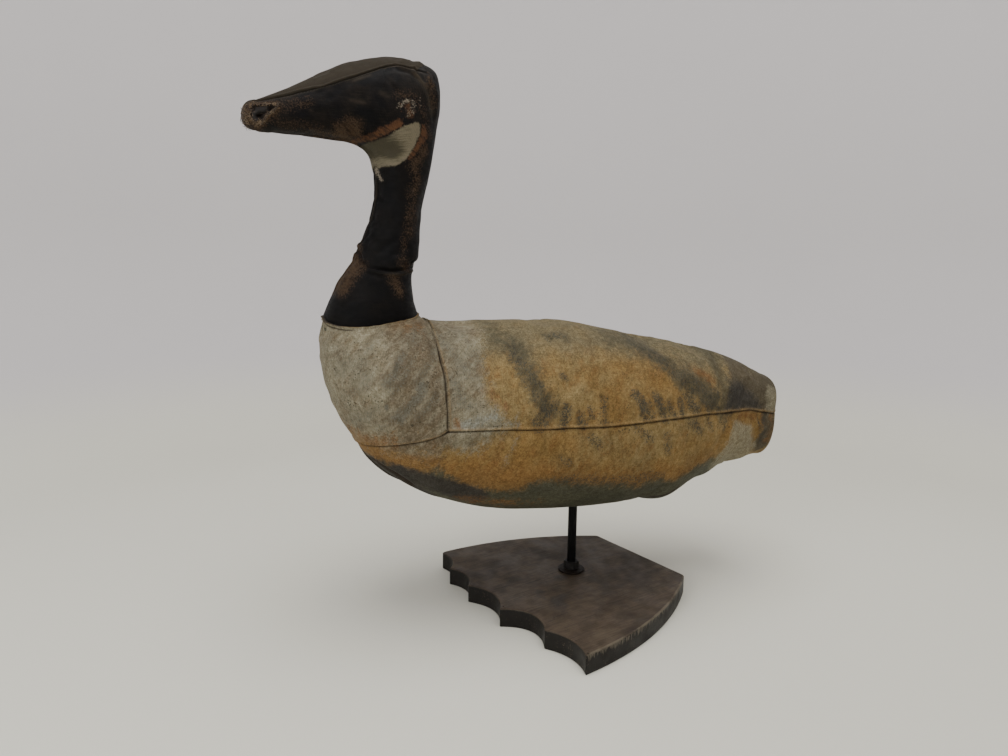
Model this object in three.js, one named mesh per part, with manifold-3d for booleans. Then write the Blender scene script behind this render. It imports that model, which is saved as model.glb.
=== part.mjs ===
// A stuffed canvas goose decoy that stands on a rod and a board cut like a webbed foot.
// Millimetres, +Z up. The origin is on the rod's axis at the board's underside, and the goose faces -X.
import * as THREE from "three";
import { mergeVertices } from "three/addons/utils/BufferGeometryUtils.js";
import Module from "manifold-3d";

const wasm = await Module();
wasm.setup();

// Board
const BOARD_THICKNESS = 19;
const BOARD_TURN_DEG = 17.2; // the foot points this far to the goose's left of straight ahead
const HEEL_BEHIND_ROD = 93.6;
const HEEL_WIDTH = 138;
const ROD_OFF_CENTRE = 9.5;
const SIDE_BULGE = 16;
const SIDE_STEPS = 14;
const TOE_ROUNDING = 7; // of the toe on the goose's right
const TOE_ROUNDING_STEPS = 5;
const BITE_STEPS = 10;
const BOARD_ARRIS = 1.2;
const FOOT_REACH = 116.6; // of the longest toe, in front of the rod
const FOOT_WIDTH = 260.5; // between the outer toes
// Toe points in front of the rod and across from the foot's middle line, with the bite that follows each,
// as shares of the foot's reach and, across, of its width.
const TOES = [
  { reach: 0.821, across: -0.497, bite: 0.069 },
  { reach: 0.935, across: -0.33, bite: 0.077 },
  { reach: 0.982, across: -0.15, bite: 0.103 },
  { reach: 1, across: 0.083, bite: 0.124 },
  { reach: 0.907, across: 0.298, bite: 0.065 },
  { reach: 0.883, across: 0.503, bite: 0 },
];

// Rod, nut and washer
const ROD_DIAMETER = 9.5;
const ROD_IN_BOARD = 12;
const ROD_IN_BODY = 45;
const NUT_SIDES = 6;
const NUT_ACROSS_FLATS = 14.3;
const NUT_HEIGHT = 8.3;
const NUT_CHAMFER = 1.1;
const WASHER_DIAMETER = 28.5;
const WASHER_THICKNESS = 1.9;
const CLEARANCE = 0.3; // between pieces that touch
const ROUND_SIDES = 32;

// Body behind the chest seam, as stations from front to back. Each gives its distance behind the seam as
// a share of the length, how far the back line, the side seam and the belly lie below the back at the
// seam as shares of the depth, and the width as a share of the full width.
const CHEST_SEAM_X = -159;
const BACK_HEIGHT = 293.5; // of the back at the chest seam, above the ground
const BODY_LENGTH = 376.5; // from the chest seam to the last station
const BODY_DEPTH = 171; // from back to belly at the chest seam
const BODY_WIDTH = 192;
const BODY_STATIONS = [
  { behind: 0, back: 0, seam: 0.564, belly: 1, width: 0.917 },
  { behind: 0.133, back: -0.004, seam: 0.57, belly: 1.091, width: 0.979 },
  { behind: 0.266, back: -0.004, seam: 0.573, belly: 1.129, width: 1 },
  { behind: 0.372, back: 0, seam: 0.576, belly: 1.146, width: 1 },
  { behind: 0.478, back: 0.04, seam: 0.57, belly: 1.151, width: 0.979 },
  { behind: 0.584, back: 0.088, seam: 0.558, belly: 1.145, width: 0.927 },
  { behind: 0.664, back: 0.116, seam: 0.547, belly: 1.155, width: 0.859 },
  { behind: 0.744, back: 0.154, seam: 0.535, belly: 1.073, width: 0.771 },
  { behind: 0.81, back: 0.19, seam: 0.529, belly: 1.009, width: 0.682 },
  { behind: 0.876, back: 0.234, seam: 0.523, belly: 0.942, width: 0.589 },
  { behind: 0.94, back: 0.288, seam: 0.529, belly: 0.928, width: 0.51 },
  { behind: 1, back: 0.36, seam: 0.544, belly: 0.918, width: 0.443 },
];
const TAIL_ROUNDING = 6.5;
const TAIL_ROUNDING_STEPS = 3;
const BODY_SQUARENESS = 2.12; // 2 is an ellipse
const TAIL_SQUARENESS = 3;
const TAIL_SQUARING = 5; // how late the sections fill out towards the tail
const BODY_SIDES = 40;
const BODY_STEPS = 36;

// Chest: it turns round a pivot behind the neck opening, from the opening down to the chest seam
const OPENING_LENGTH = 96;
const OPENING_WIDTH = 84;
const OPENING_ROUNDING = 6; // of the canvas behind the neck opening
const OPENING_DIP = 7; // of its two sides below its front and back
const DIP_FADING = 3; // how early the dip dies away below the opening
const BREAST_SWELL = 1.64; // how late the breast runs out towards the belly
const SHOULDER_SWELL = 1.8; // how early the chest widens below the opening
const CHEST_STEPS = 16;
const CANVAS = 3; // rolled edge of the neck opening
const SOCKET_DEPTH = 14;
const NECK_GAP = 1.2; // round the neck in its socket

// Head and neck, as stations from the neck's foot to the bill. Each one spans from the front of the neck,
// or the chin, to its back, or the crown, and gives both ends forward of the neck opening's middle, as
// shares of the bill's reach, and above its rim, as shares of the head's height. The width is a share of
// the head's width, and the turn is the share of the head's turn that the station has taken.
const HEAD_TURN_DEG = 12; // towards the goose's left
const NECK_AXIS_BEHIND = 16; // of the opening's middle
const BILL_REACH = 100; // of the last station, forward of the opening's middle
const HEAD_HEIGHT = 231.5; // of the crown above the opening's rim
const HEAD_WIDTH = 67;
const NECK_STATIONS = [
  { front: [0.385, 0.054], back: [-0.398, 0.054], width: 1.104, turn: 0 },
  { front: [0.295, 0.132], back: [-0.382, 0.132], width: 0.985, turn: 0 },
  { front: [0.18, 0.205], back: [-0.404, 0.197], width: 0.881, turn: 0.15 },
  { front: [0.116, 0.259], back: [-0.45, 0.235], width: 0.821, turn: 0.5 },
  { front: [0.044, 0.309], back: [-0.458, 0.296], width: 0.791, turn: 0.85 },
  { front: [-0.026, 0.391], back: [-0.468, 0.391], width: 0.776, turn: 1 },
  { front: [-0.064, 0.473], back: [-0.498, 0.473], width: 0.776, turn: 1 },
  { front: [-0.066, 0.546], back: [-0.56, 0.572], width: 0.806, turn: 1 },
  { front: [-0.034, 0.603], back: [-0.618, 0.702], width: 0.881, turn: 1 },
  { front: [0.028, 0.637], back: [-0.668, 0.853], width: 0.97, turn: 1 },
  { front: [0.11, 0.657], back: [-0.602, 0.975], width: 1, turn: 1 },
  { front: [0.22, 0.664], back: [-0.21, 1], width: 0.985, turn: 1 },
  { front: [0.39, 0.668], back: [0.19, 0.959], width: 0.896, turn: 1 },
  { front: [0.58, 0.673], back: [0.48, 0.896], width: 0.746, turn: 1 },
  { front: [0.78, 0.672], back: [0.74, 0.829], width: 0.582, turn: 1 },
  { front: [1, 0.674], back: [0.99, 0.778], width: 0.418, turn: 1 },
];
const BILL_ROUNDING = 10;
const BILL_ROUNDING_STEPS = 3;
const HEAD_SQUARENESS = 2.2;
const HEAD_SIDES = 32;
const HEAD_STEPS = 42;

// Torn hole on the near side of the bill's tip
const TEAR_LENGTH = 22;
const TEAR_HEIGHT = 14;
const TEAR_DEPTH = 5;
const TEAR_FROM_TIP = 13;
const TEAR_BELOW_MIDDLE = 2;
const TEAR_SIDES = 16;
const TEAR_ROWS = 12;

const OVERSHOOT = 1; // of a cutter past the solid that it cuts
const HALVINGS = 40; // of a search along the body

const rad = THREE.MathUtils.degToRad;
const mix = THREE.MathUtils.lerp;

// Solids

function solidFromGeometry(geometry) {
  const bare = geometry.index ? geometry.toNonIndexed() : geometry.clone();
  bare.deleteAttribute("normal");
  bare.deleteAttribute("uv");
  const merged = mergeVertices(bare, 1e-4);
  return new wasm.Manifold(
    new wasm.Mesh({
      numProp: 3,
      vertProperties: merged.attributes.position.array,
      triVerts: new Uint32Array(merged.index.array),
    }),
  );
}

function geometryFromSolid(solid) {
  const mesh = solid.getMesh();
  const positions = new Float32Array(mesh.numVert * 3);
  for (let i = 0; i < mesh.numVert; i++) {
    positions.set(mesh.vertProperties.subarray(i * mesh.numProp, i * mesh.numProp + 3), i * 3);
  }
  return new THREE.BufferGeometry()
    .setAttribute("position", new THREE.BufferAttribute(positions, 3))
    .setIndex(new THREE.BufferAttribute(mesh.triVerts, 1));
}

function cylinderSolid(radius, bottom, top) {
  const geometry = new THREE.CylinderGeometry(radius, radius, top - bottom, ROUND_SIDES);
  geometry.rotateX(Math.PI / 2);
  geometry.translate(0, 0, (top + bottom) / 2);
  return solidFromGeometry(geometry);
}

// Closed skin over a row of rings of equal count, closed at each end by a fan to its middle.
function loft(rings) {
  const count = rings[0].length;
  const positions = rings.flat().flatMap((p) => p.toArray());
  const index = [];
  for (let r = 0; r + 1 < rings.length; r++) {
    for (let k = 0; k < count; k++) {
      const a = r * count + k;
      const b = r * count + ((k + 1) % count);
      index.push(a, b, a + count, b, b + count, a + count);
    }
  }
  const close = (ring, start, outward) => {
    const middle = ring.reduce((sum, p) => sum.add(p), new THREE.Vector3()).divideScalar(count);
    const tip = positions.length / 3;
    positions.push(...middle.toArray());
    for (let k = 0; k < count; k++) {
      const a = start + k;
      const b = start + ((k + 1) % count);
      index.push(...(outward ? [a, b, tip] : [b, a, tip]));
    }
  };
  close(rings[0], 0, false);
  close(rings[rings.length - 1], (rings.length - 1) * count, true);
  return new THREE.BufferGeometry()
    .setAttribute("position", new THREE.Float32BufferAttribute(positions, 3))
    .setIndex(index);
}

// Sections

// A section spans from its near point to its far point in the middle plane, and its width lies across
// that plane. It is widest at the given share of the way, and its corners fill out with squareness.
function sectionRing({ near, far, width, widest, squareness }, sides) {
  const middle = near.clone().lerp(far, widest);
  const bend = (value) => Math.sign(value) * Math.abs(value) ** (2 / squareness);
  return Array.from({ length: sides }, (_, k) => {
    const angle = (2 * Math.PI * k) / sides;
    const along = bend(Math.cos(angle));
    const across = bend(Math.sin(angle));
    const end = along > 0 ? far : near;
    const point = middle.clone().lerp(end, Math.abs(along));
    return new THREE.Vector3(point.x, (across * width) / 2, point.y);
  });
}

// Smooth value through a list at a share from 0 to 1, by Catmull-Rom.
function smooth(values, share) {
  const last = values.length - 1;
  const place = Math.min(share * last, last - 1e-9);
  const i = Math.floor(place);
  const t = place - i;
  const at = (n) => values[Math.min(Math.max(n, 0), last)];
  const [p0, p1, p2, p3] = [at(i - 1), at(i), at(i + 1), at(i + 2)];
  const m1 = (p2 - p0) / 2;
  const m2 = (p3 - p1) / 2;
  const t2 = t * t;
  const t3 = t2 * t;
  return (2 * t3 - 3 * t2 + 1) * p1 + (t3 - 2 * t2 + t) * m1 + (3 * t2 - 2 * t3) * p2 + (t3 - t2) * m2;
}

const field = (rows, read, share) => smooth(rows.map(read), share);

// Body

const RIM_HEIGHT = BACK_HEIGHT + OPENING_ROUNDING;
const PIVOT = new THREE.Vector2(CHEST_SEAM_X, RIM_HEIGHT);
const OPENING_MIDDLE_X = CHEST_SEAM_X - OPENING_ROUNDING - OPENING_LENGTH / 2;

// Section of the chest at a share of the way from the neck opening, at 0, down to the chest seam, at 1.
function chestSection(share) {
  const atSeam = BODY_STATIONS[0];
  const angle = share * (Math.PI / 2);
  const direction = new THREE.Vector2(-Math.cos(angle), -Math.sin(angle));
  const reach = mix(OPENING_LENGTH, BODY_DEPTH * atSeam.belly, share ** BREAST_SWELL) + OPENING_ROUNDING;
  return {
    near: PIVOT.clone().addScaledVector(direction, OPENING_ROUNDING),
    far: PIVOT.clone().addScaledVector(direction, reach),
    width: mix(OPENING_WIDTH, BODY_WIDTH * atSeam.width, 1 - (1 - share) ** SHOULDER_SWELL),
    widest: mix(0.5, atSeam.seam / atSeam.belly, share),
    squareness: BODY_SQUARENESS,
  };
}

// Section of the body at a share of the way from the chest seam, at 0, to the tail, at 1.
function bodySection(share) {
  const x = CHEST_SEAM_X + BODY_LENGTH * field(BODY_STATIONS, (s) => s.behind, share);
  const back = BODY_DEPTH * field(BODY_STATIONS, (s) => s.back, share);
  const seam = BODY_DEPTH * field(BODY_STATIONS, (s) => s.seam, share);
  const belly = BODY_DEPTH * field(BODY_STATIONS, (s) => s.belly, share);
  return {
    near: new THREE.Vector2(x, BACK_HEIGHT - back),
    far: new THREE.Vector2(x, BACK_HEIGHT - belly),
    width: BODY_WIDTH * field(BODY_STATIONS, (s) => s.width, share),
    widest: (seam - back) / (belly - back),
    squareness: mix(BODY_SQUARENESS, TAIL_SQUARENESS, share ** TAIL_SQUARING),
  };
}

// The last section of a skin, drawn in by a quarter round that ends the skin along a direction.
function roundedEnd(section, direction, radius, steps) {
  const span = section.near.distanceTo(section.far);
  return Array.from({ length: steps }, (_, i) => {
    const angle = ((i + 1) / steps) * (Math.PI / 2);
    const inset = radius * (1 - Math.cos(angle));
    const shift = direction.clone().multiplyScalar(radius * Math.sin(angle));
    const draw = inset / span;
    return {
      ...section,
      near: section.near.clone().lerp(section.far, draw * 2 * section.widest).add(shift),
      far: section.far.clone().lerp(section.near, draw * 2 * (1 - section.widest)).add(shift),
      width: section.width - 2 * inset,
    };
  });
}

// The neck opening's section drawn in on all sides and lowered.
function socketSection(inset, depth) {
  const rim = chestSection(0);
  const draw = new THREE.Vector2(inset, 0);
  const drop = new THREE.Vector2(0, depth);
  return {
    ...rim,
    near: rim.near.clone().sub(draw).sub(drop),
    far: rim.far.clone().add(draw).sub(drop),
    width: rim.width - 2 * inset,
  };
}

// Lowers the sides of a ring round the neck opening, most where the section is widest.
function dipSides(ring, width, amount) {
  return ring.map((p) => p.clone().setZ(p.z - amount * ((2 * p.y) / width) ** 2));
}

function makeBody() {
  const lip = socketSection(CANVAS, 0);
  const rings = [
    sectionRing(socketSection(CANVAS, SOCKET_DEPTH), BODY_SIDES),
    dipSides(sectionRing(lip, BODY_SIDES), lip.width, OPENING_DIP),
  ];
  for (let i = 0; i < CHEST_STEPS; i++) {
    const share = i / CHEST_STEPS;
    const section = chestSection(share);
    const dip = OPENING_DIP * (1 - share) ** DIP_FADING;
    rings.push(dipSides(sectionRing(section, BODY_SIDES), section.width, dip));
  }
  for (let i = 0; i <= BODY_STEPS; i++) rings.push(sectionRing(bodySection(i / BODY_STEPS), BODY_SIDES));
  const tail = roundedEnd(bodySection(1), new THREE.Vector2(1, 0), TAIL_ROUNDING, TAIL_ROUNDING_STEPS);
  for (const section of tail) rings.push(sectionRing(section, BODY_SIDES));
  const skin = solidFromGeometry(loft(rings));
  const bore = cylinderSolid(ROD_DIAMETER / 2 + CLEARANCE, 0, ROD_TOP + CLEARANCE);
  return geometryFromSolid(skin.subtract(bore));
}

// Height of the belly above the ground where the rod goes in, found by halving.
function bellyOverRod() {
  let front = 0;
  let behind = 1;
  for (let i = 0; i < HALVINGS; i++) {
    const half = (front + behind) / 2;
    if (bodySection(half).far.x < 0) front = half;
    else behind = half;
  }
  return bodySection(front).far.y;
}

const ROD_TOP = bellyOverRod() + ROD_IN_BODY;

// Head and neck

function neckSection(share) {
  const read = (end) =>
    new THREE.Vector2(
      OPENING_MIDDLE_X - BILL_REACH * field(NECK_STATIONS, (s) => s[end][0], share),
      RIM_HEIGHT + HEAD_HEIGHT * field(NECK_STATIONS, (s) => s[end][1], share),
    );
  return {
    near: read("front"),
    far: read("back"),
    width: HEAD_WIDTH * field(NECK_STATIONS, (s) => s.width, share),
    widest: 0.5,
    squareness: HEAD_SQUARENESS,
  };
}

const NECK_AXIS = new THREE.Vector3(OPENING_MIDDLE_X + NECK_AXIS_BEHIND, 0, 0);
const UP = new THREE.Vector3(0, 0, 1);

function turnAboutNeck(ring, turn) {
  const angle = rad(HEAD_TURN_DEG) * turn;
  return ring.map((p) => p.clone().sub(NECK_AXIS).applyAxisAngle(UP, angle).add(NECK_AXIS));
}

function flipSection(section) {
  return { ...section, near: section.far, far: section.near, widest: 1 - section.widest };
}

function makeHeadAndNeck() {
  const inset = CANVAS + NECK_GAP;
  const plug = [SOCKET_DEPTH - CLEARANCE, 0].map((depth) => flipSection(socketSection(inset, depth)));
  const rings = plug.map((section) => sectionRing(section, HEAD_SIDES));
  for (let i = 0; i <= HEAD_STEPS; i++) {
    const share = i / HEAD_STEPS;
    const turn = field(NECK_STATIONS, (s) => s.turn, share);
    rings.push(turnAboutNeck(sectionRing(neckSection(share), HEAD_SIDES), turn));
  }
  const bill = roundedEnd(neckSection(1), new THREE.Vector2(-1, 0), BILL_ROUNDING, BILL_ROUNDING_STEPS);
  for (const section of bill) rings.push(turnAboutNeck(sectionRing(section, HEAD_SIDES), 1));
  return geometryFromSolid(solidFromGeometry(loft(rings)).subtract(tearSolid()));
}

function tearSolid() {
  const tip = neckSection(1);
  const hollow = new THREE.SphereGeometry(1, TEAR_SIDES, TEAR_ROWS);
  hollow.scale(TEAR_LENGTH / 2, TEAR_DEPTH, TEAR_HEIGHT / 2);
  hollow.translate(
    tip.near.x - BILL_ROUNDING + TEAR_FROM_TIP - NECK_AXIS.x,
    -tip.width / 2,
    (tip.near.y + tip.far.y) / 2 - TEAR_BELOW_MIDDLE,
  );
  hollow.rotateZ(rad(HEAD_TURN_DEG));
  hollow.translate(NECK_AXIS.x, 0, 0);
  return solidFromGeometry(hollow);
}

// Stand

// Points of an arc from p to q that bulges to the right of the way there, without q.
function arcPoints(p, q, bulge, steps) {
  const chord = q.clone().sub(p);
  const side = new THREE.Vector2(chord.y, -chord.x).normalize();
  return Array.from({ length: steps }, (_, i) => {
    const t = i / steps;
    return p.clone().addScaledVector(chord, t).addScaledVector(side, 4 * bulge * t * (1 - t));
  });
}

// Replaces a corner of an outline by a quadratic round that starts and ends a radius away.
function roundCorner(points, corner, radius, steps) {
  const i = points.indexOf(corner);
  const count = points.length;
  const kept = points.filter((p) => p === corner || p.distanceTo(corner) > radius);
  const at = kept.indexOf(corner);
  const toward = (other) => corner.clone().add(other.clone().sub(corner).setLength(radius));
  const before = toward(points[(i - 1 + count) % count]);
  const after = toward(points[(i + 1) % count]);
  const curve = new THREE.QuadraticBezierCurve(before, corner, after).getPoints(steps);
  kept.splice(at, 1, ...curve);
  return kept;
}

function makeBoard() {
  const place = (reach, across) => new THREE.Vector2(reach, across + ROD_OFF_CENTRE);
  const toes = TOES.map((toe) => place(FOOT_REACH * toe.reach, FOOT_WIDTH * toe.across));
  const bites = TOES.map((toe) => -FOOT_REACH * toe.bite);
  const heel = [place(-HEEL_BEHIND_ROD, HEEL_WIDTH / 2), place(-HEEL_BEHIND_ROD, -HEEL_WIDTH / 2)];
  let outline = [
    ...arcPoints(heel[1], toes[0], SIDE_BULGE, SIDE_STEPS),
    ...toes.slice(0, -1).flatMap((toe, i) => arcPoints(toe, toes[i + 1], bites[i], BITE_STEPS)),
    ...arcPoints(toes[toes.length - 1], heel[0], SIDE_BULGE, SIDE_STEPS),
    heel[0],
  ];
  const firstToe = outline.find((p) => p.equals(toes[0]));
  outline = roundCorner(outline, firstToe, TOE_ROUNDING, TOE_ROUNDING_STEPS);
  const geometry = new THREE.ExtrudeGeometry(new THREE.Shape(outline), {
    depth: BOARD_THICKNESS - 2 * BOARD_ARRIS,
    bevelThickness: BOARD_ARRIS,
    bevelSize: BOARD_ARRIS,
    bevelOffset: -BOARD_ARRIS,
    bevelSegments: 1,
  });
  geometry.translate(0, 0, BOARD_ARRIS);
  geometry.rotateZ(Math.PI + rad(BOARD_TURN_DEG));
  const boreTop = BOARD_THICKNESS + OVERSHOOT;
  const bore = cylinderSolid(ROD_DIAMETER / 2 + CLEARANCE, BOARD_THICKNESS - ROD_IN_BOARD, boreTop);
  return geometryFromSolid(solidFromGeometry(geometry).subtract(bore));
}

function makeRod() {
  const bottom = BOARD_THICKNESS - ROD_IN_BOARD + CLEARANCE;
  return geometryFromSolid(cylinderSolid(ROD_DIAMETER / 2, bottom, ROD_TOP));
}

const WASHER_BOTTOM = BOARD_THICKNESS + CLEARANCE;
const NUT_BOTTOM = WASHER_BOTTOM + WASHER_THICKNESS + CLEARANCE;

// Turned shape round the rod's axis, from its corners' radii and heights.
function ringOnRod(corners) {
  const profile = corners.map(([radius, height]) => new THREE.Vector2(radius, height));
  const geometry = new THREE.LatheGeometry(profile, ROUND_SIDES);
  geometry.rotateX(Math.PI / 2);
  return geometry;
}

function makeWasher() {
  const inner = ROD_DIAMETER / 2 + CLEARANCE;
  const outer = WASHER_DIAMETER / 2;
  const top = WASHER_BOTTOM + WASHER_THICKNESS;
  const corners = [
    [inner, WASHER_BOTTOM],
    [outer, WASHER_BOTTOM],
    [outer, top],
    [inner, top],
    [inner, WASHER_BOTTOM],
  ];
  return ringOnRod(corners);
}

function makeNut() {
  const face = NUT_ACROSS_FLATS / 2;
  const corner = face / Math.cos(Math.PI / NUT_SIDES);
  const top = NUT_BOTTOM + NUT_HEIGHT;
  const prism = new THREE.CylinderGeometry(corner, corner, NUT_HEIGHT, NUT_SIDES);
  prism.rotateX(Math.PI / 2);
  prism.translate(0, 0, NUT_BOTTOM + NUT_HEIGHT / 2);
  const dome = [
    [0, NUT_BOTTOM],
    [face, NUT_BOTTOM],
    [corner, NUT_BOTTOM + NUT_CHAMFER],
    [corner, top - NUT_CHAMFER],
    [face, top],
    [0, top],
  ];
  const rounded = solidFromGeometry(ringOnRod(dome));
  const bore = cylinderSolid(ROD_DIAMETER / 2 + CLEARANCE, NUT_BOTTOM - OVERSHOOT, top + OVERSHOOT);
  return geometryFromSolid(solidFromGeometry(prism).intersect(rounded).subtract(bore));
}

// Assembly

const canvas = new THREE.MeshStandardMaterial({ color: 0xa08a5e, roughness: 0.9, metalness: 0 });
const blackCanvas = new THREE.MeshStandardMaterial({ color: 0x2a2622, roughness: 0.75, metalness: 0 });
const stainedWood = new THREE.MeshStandardMaterial({ color: 0x463c34, roughness: 0.7, metalness: 0 });
const blackSteel = new THREE.MeshStandardMaterial({ color: 0x161514, roughness: 0.45, metalness: 0.8 });

function named(name, geometry, material) {
  const mesh = new THREE.Mesh(geometry, material);
  mesh.name = name;
  return mesh;
}

const decoy = new THREE.Group();
decoy.add(named("goose_body", makeBody(), canvas));
decoy.add(named("goose_head_and_neck", makeHeadAndNeck(), blackCanvas));
decoy.add(named("stand_base", makeBoard(), stainedWood));
decoy.add(named("stand_rod", makeRod(), blackSteel));
decoy.add(named("rod_nut", makeNut(), blackSteel));
decoy.add(named("rod_washer", makeWasher(), blackSteel));

export default decoy;
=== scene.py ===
"""Looks of a stuffed canvas goose decoy on a board cut like a webbed foot.

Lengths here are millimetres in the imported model's frame, and meshes are written in metres. The goose
faces -X, its left side is -Y, and the origin is on the rod's axis at the board's underside.
"""

import logging
import math
from dataclasses import dataclass, replace
from enum import Enum
from functools import reduce
from typing import Iterable, Mapping, Sequence

import bmesh
import bpy
import numpy as np
from mathutils import Matrix, Vector


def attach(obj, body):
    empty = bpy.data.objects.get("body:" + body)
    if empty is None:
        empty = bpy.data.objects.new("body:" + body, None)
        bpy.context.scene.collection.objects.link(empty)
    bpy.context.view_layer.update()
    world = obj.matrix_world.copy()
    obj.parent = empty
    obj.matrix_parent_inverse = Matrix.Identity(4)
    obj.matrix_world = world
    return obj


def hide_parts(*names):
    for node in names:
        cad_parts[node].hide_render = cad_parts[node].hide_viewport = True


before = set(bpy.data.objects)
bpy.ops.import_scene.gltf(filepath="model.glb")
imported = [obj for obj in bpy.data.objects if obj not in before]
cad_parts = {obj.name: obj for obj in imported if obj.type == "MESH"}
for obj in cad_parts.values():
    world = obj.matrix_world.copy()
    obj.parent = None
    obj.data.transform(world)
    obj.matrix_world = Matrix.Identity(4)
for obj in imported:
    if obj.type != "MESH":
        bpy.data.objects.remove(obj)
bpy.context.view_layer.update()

LOG = logging.getLogger("goose")
Array = np.ndarray
Colour = tuple[float, float, float]
Point = tuple[float, float]
Path = Sequence[Point]
Spans = tuple[tuple[float, float, int, float], ...]
Stations = tuple[float, ...]
Socket = bpy.types.NodeSocket
Material = bpy.types.Material
Piece = bpy.types.Object
Mesh = bpy.types.Mesh
MM = 0.001
TINY = 1e-9


class Side(Enum):
    """Which side of the goose a mark is on."""

    LEFT = -1
    RIGHT = 1
    BOTH = 0


class Slot(Enum):
    """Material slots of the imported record."""

    PAINTED_CANVAS = "painted_canvas"
    BLACK_CANVAS = "black_canvas"
    STAINED_WOOD = "stained_wood"
    BLACK_STEEL = "black_steel"


# Numbers


def smoothstep(low: float, high: float, value: Array) -> Array:
    """Smooth change from 0 to 1.

    Args:
        low: Value where the change starts.
        high: Value where it ends.
        value: Values to read.

    Returns:
        The share of the change at each value.
    """
    t = np.clip((value - low) / (high - low), 0.0, 1.0)
    return t * t * (3.0 - 2.0 * t)


def bell(value: Array, width: float) -> Array:
    """Bell curve of height 1 and the given half width."""
    return np.exp(-((value / width) ** 2))


def catmull(values: Sequence[float], share: Array) -> Array:
    """Smooth value through evenly spaced stations, by Catmull-Rom.

    Args:
        values: Value at each station.
        share: Places along the stations, from 0 to 1.

    Returns:
        The value at each place.
    """
    v = np.asarray(values, float)
    last = len(v) - 1
    place = np.clip(share * last, 0.0, last - TINY)
    i = np.floor(place).astype(int)
    t = place - i
    p0, p1 = v[np.maximum(i - 1, 0)], v[i]
    p2, p3 = v[np.minimum(i + 1, last)], v[np.minimum(i + 2, last)]
    m1, m2 = (p2 - p0) / 2, (p3 - p1) / 2
    t2, t3 = t * t, t * t * t
    return (2 * t3 - 3 * t2 + 1) * p1 + (t3 - 2 * t2 + t) * m1 + (3 * t2 - 2 * t3) * p2 + (t3 - t2) * m2


def graded(start: float, end: float, count: int, pull: float) -> Array:
    """Places from start to just before end, closer together near both of them.

    Args:
        start: First place.
        end: Place that the row leads up to.
        count: How many places.
        pull: From 0, even, towards 1, crowded at the ends.

    Returns:
        The places, without the end.
    """
    s = np.arange(count) / count
    return start + (end - start) * (s - pull * np.sin(2 * np.pi * s) / (2 * np.pi))


def lattice(cells: Array, seed: int) -> Array:
    """Even random numbers from 0 to 1 for whole-number cells.

    Args:
        cells: Whole-number places in space, three numbers each.
        seed: Picks the pattern.

    Returns:
        One number for each cell.
    """
    c = cells.astype(np.int64)
    h = c[..., 0] * 374761393 + c[..., 1] * 668265263 + c[..., 2] * 2246822519 + seed * 3266489917
    h = (h ^ (h >> 13)) * 1274126177 & 0xFFFFFFFF
    h = (h ^ (h >> 16)) * 2246822519 & 0xFFFFFFFF
    return ((h ^ (h >> 15)) & 0xFFFFFF) / float(0xFFFFFF)


def noise(place: Array, size: float | Sequence[float], seed: int, octaves: int = 1) -> Array:
    """Smooth noise in space.

    Args:
        place: Points, with three numbers each.
        size: Size of the lumps, in the points' unit, one number or one for each axis.
        seed: Picks the pattern.
        octaves: How many finer layers are added.

    Returns:
        A value from about -1 to 1 at each point.
    """
    total = np.zeros(place.shape[:-1])
    weight, reach = 1.0, 0.0
    p = place / np.asarray(size, float)
    for octave in range(octaves):
        cell = np.floor(p)
        f = p - cell
        f = f * f * (3 - 2 * f)
        value = np.zeros(place.shape[:-1])
        for corner in range(8):
            step = np.array([corner & 1, corner >> 1 & 1, corner >> 2 & 1])
            share = np.prod(np.where(step == 1, f, 1 - f), axis=-1)
            value += share * lattice(cell + step, seed + octave)
        total += weight * (2 * value - 1)
        reach += weight
        weight *= 0.5
        p = p * 2.03
    return total / reach


def hermite(new: Array, old: Array, values: Array) -> Array:
    """Smooth curve through values at uneven places, along the first axis.

    Args:
        new: Places to read, sorted or not.
        old: Places of the values, rising.
        values: One row for each old place.

    Returns:
        One row for each new place.
    """
    slope = np.gradient(values, old, axis=0)
    i = np.clip(np.searchsorted(old, new, side="right") - 1, 0, len(old) - 2)
    gap = old[i + 1] - old[i]
    shape = (-1,) + (1,) * (values.ndim - 1)
    t = ((new - old[i]) / gap).reshape(shape)
    gap = gap.reshape(shape)
    t2, t3 = t * t, t * t * t
    return (
        (2 * t3 - 3 * t2 + 1) * values[i]
        + (t3 - 2 * t2 + t) * gap * slope[i]
        + (3 * t2 - 2 * t3) * values[i + 1]
        + (t3 - t2) * gap * slope[i + 1]
    )


def path_distance(x: Array, z: Array, path: Path) -> Array:
    """Distance from points to a line of straight pieces in a side view.

    Args:
        x: Places along X.
        z: Heights.
        path: Points of the line, x and z.

    Returns:
        The distance of each point, in millimetres.
    """
    best = np.full(x.shape, 1e9)
    for (ax, az), (bx, bz) in zip(path[:-1], path[1:]):
        length2 = max((bx - ax) ** 2 + (bz - az) ** 2, TINY)
        t = np.clip(((x - ax) * (bx - ax) + (z - az) * (bz - az)) / length2, 0, 1)
        best = np.minimum(best, np.hypot(x - ax - t * (bx - ax), z - az - t * (bz - az)))
    return best


def inside(x: Array, z: Array, outline: Path) -> Array:
    """Whether points lie inside an outline in a side view, by the even-odd rule.

    Args:
        x: Places along X.
        z: Heights.
        outline: Corners of the outline, x and z.

    Returns:
        True for each point inside.
    """
    found = np.zeros(x.shape, bool)
    for (ax, az), (bx, bz) in zip(outline, (*outline[1:], outline[0])):
        crosses = (az > z) != (bz > z)
        at = ax + (bx - ax) * (z - az) / (bz - az if bz != az else TINY)
        found ^= crosses & (x < at)
    return found


# Marks of the brush


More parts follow.
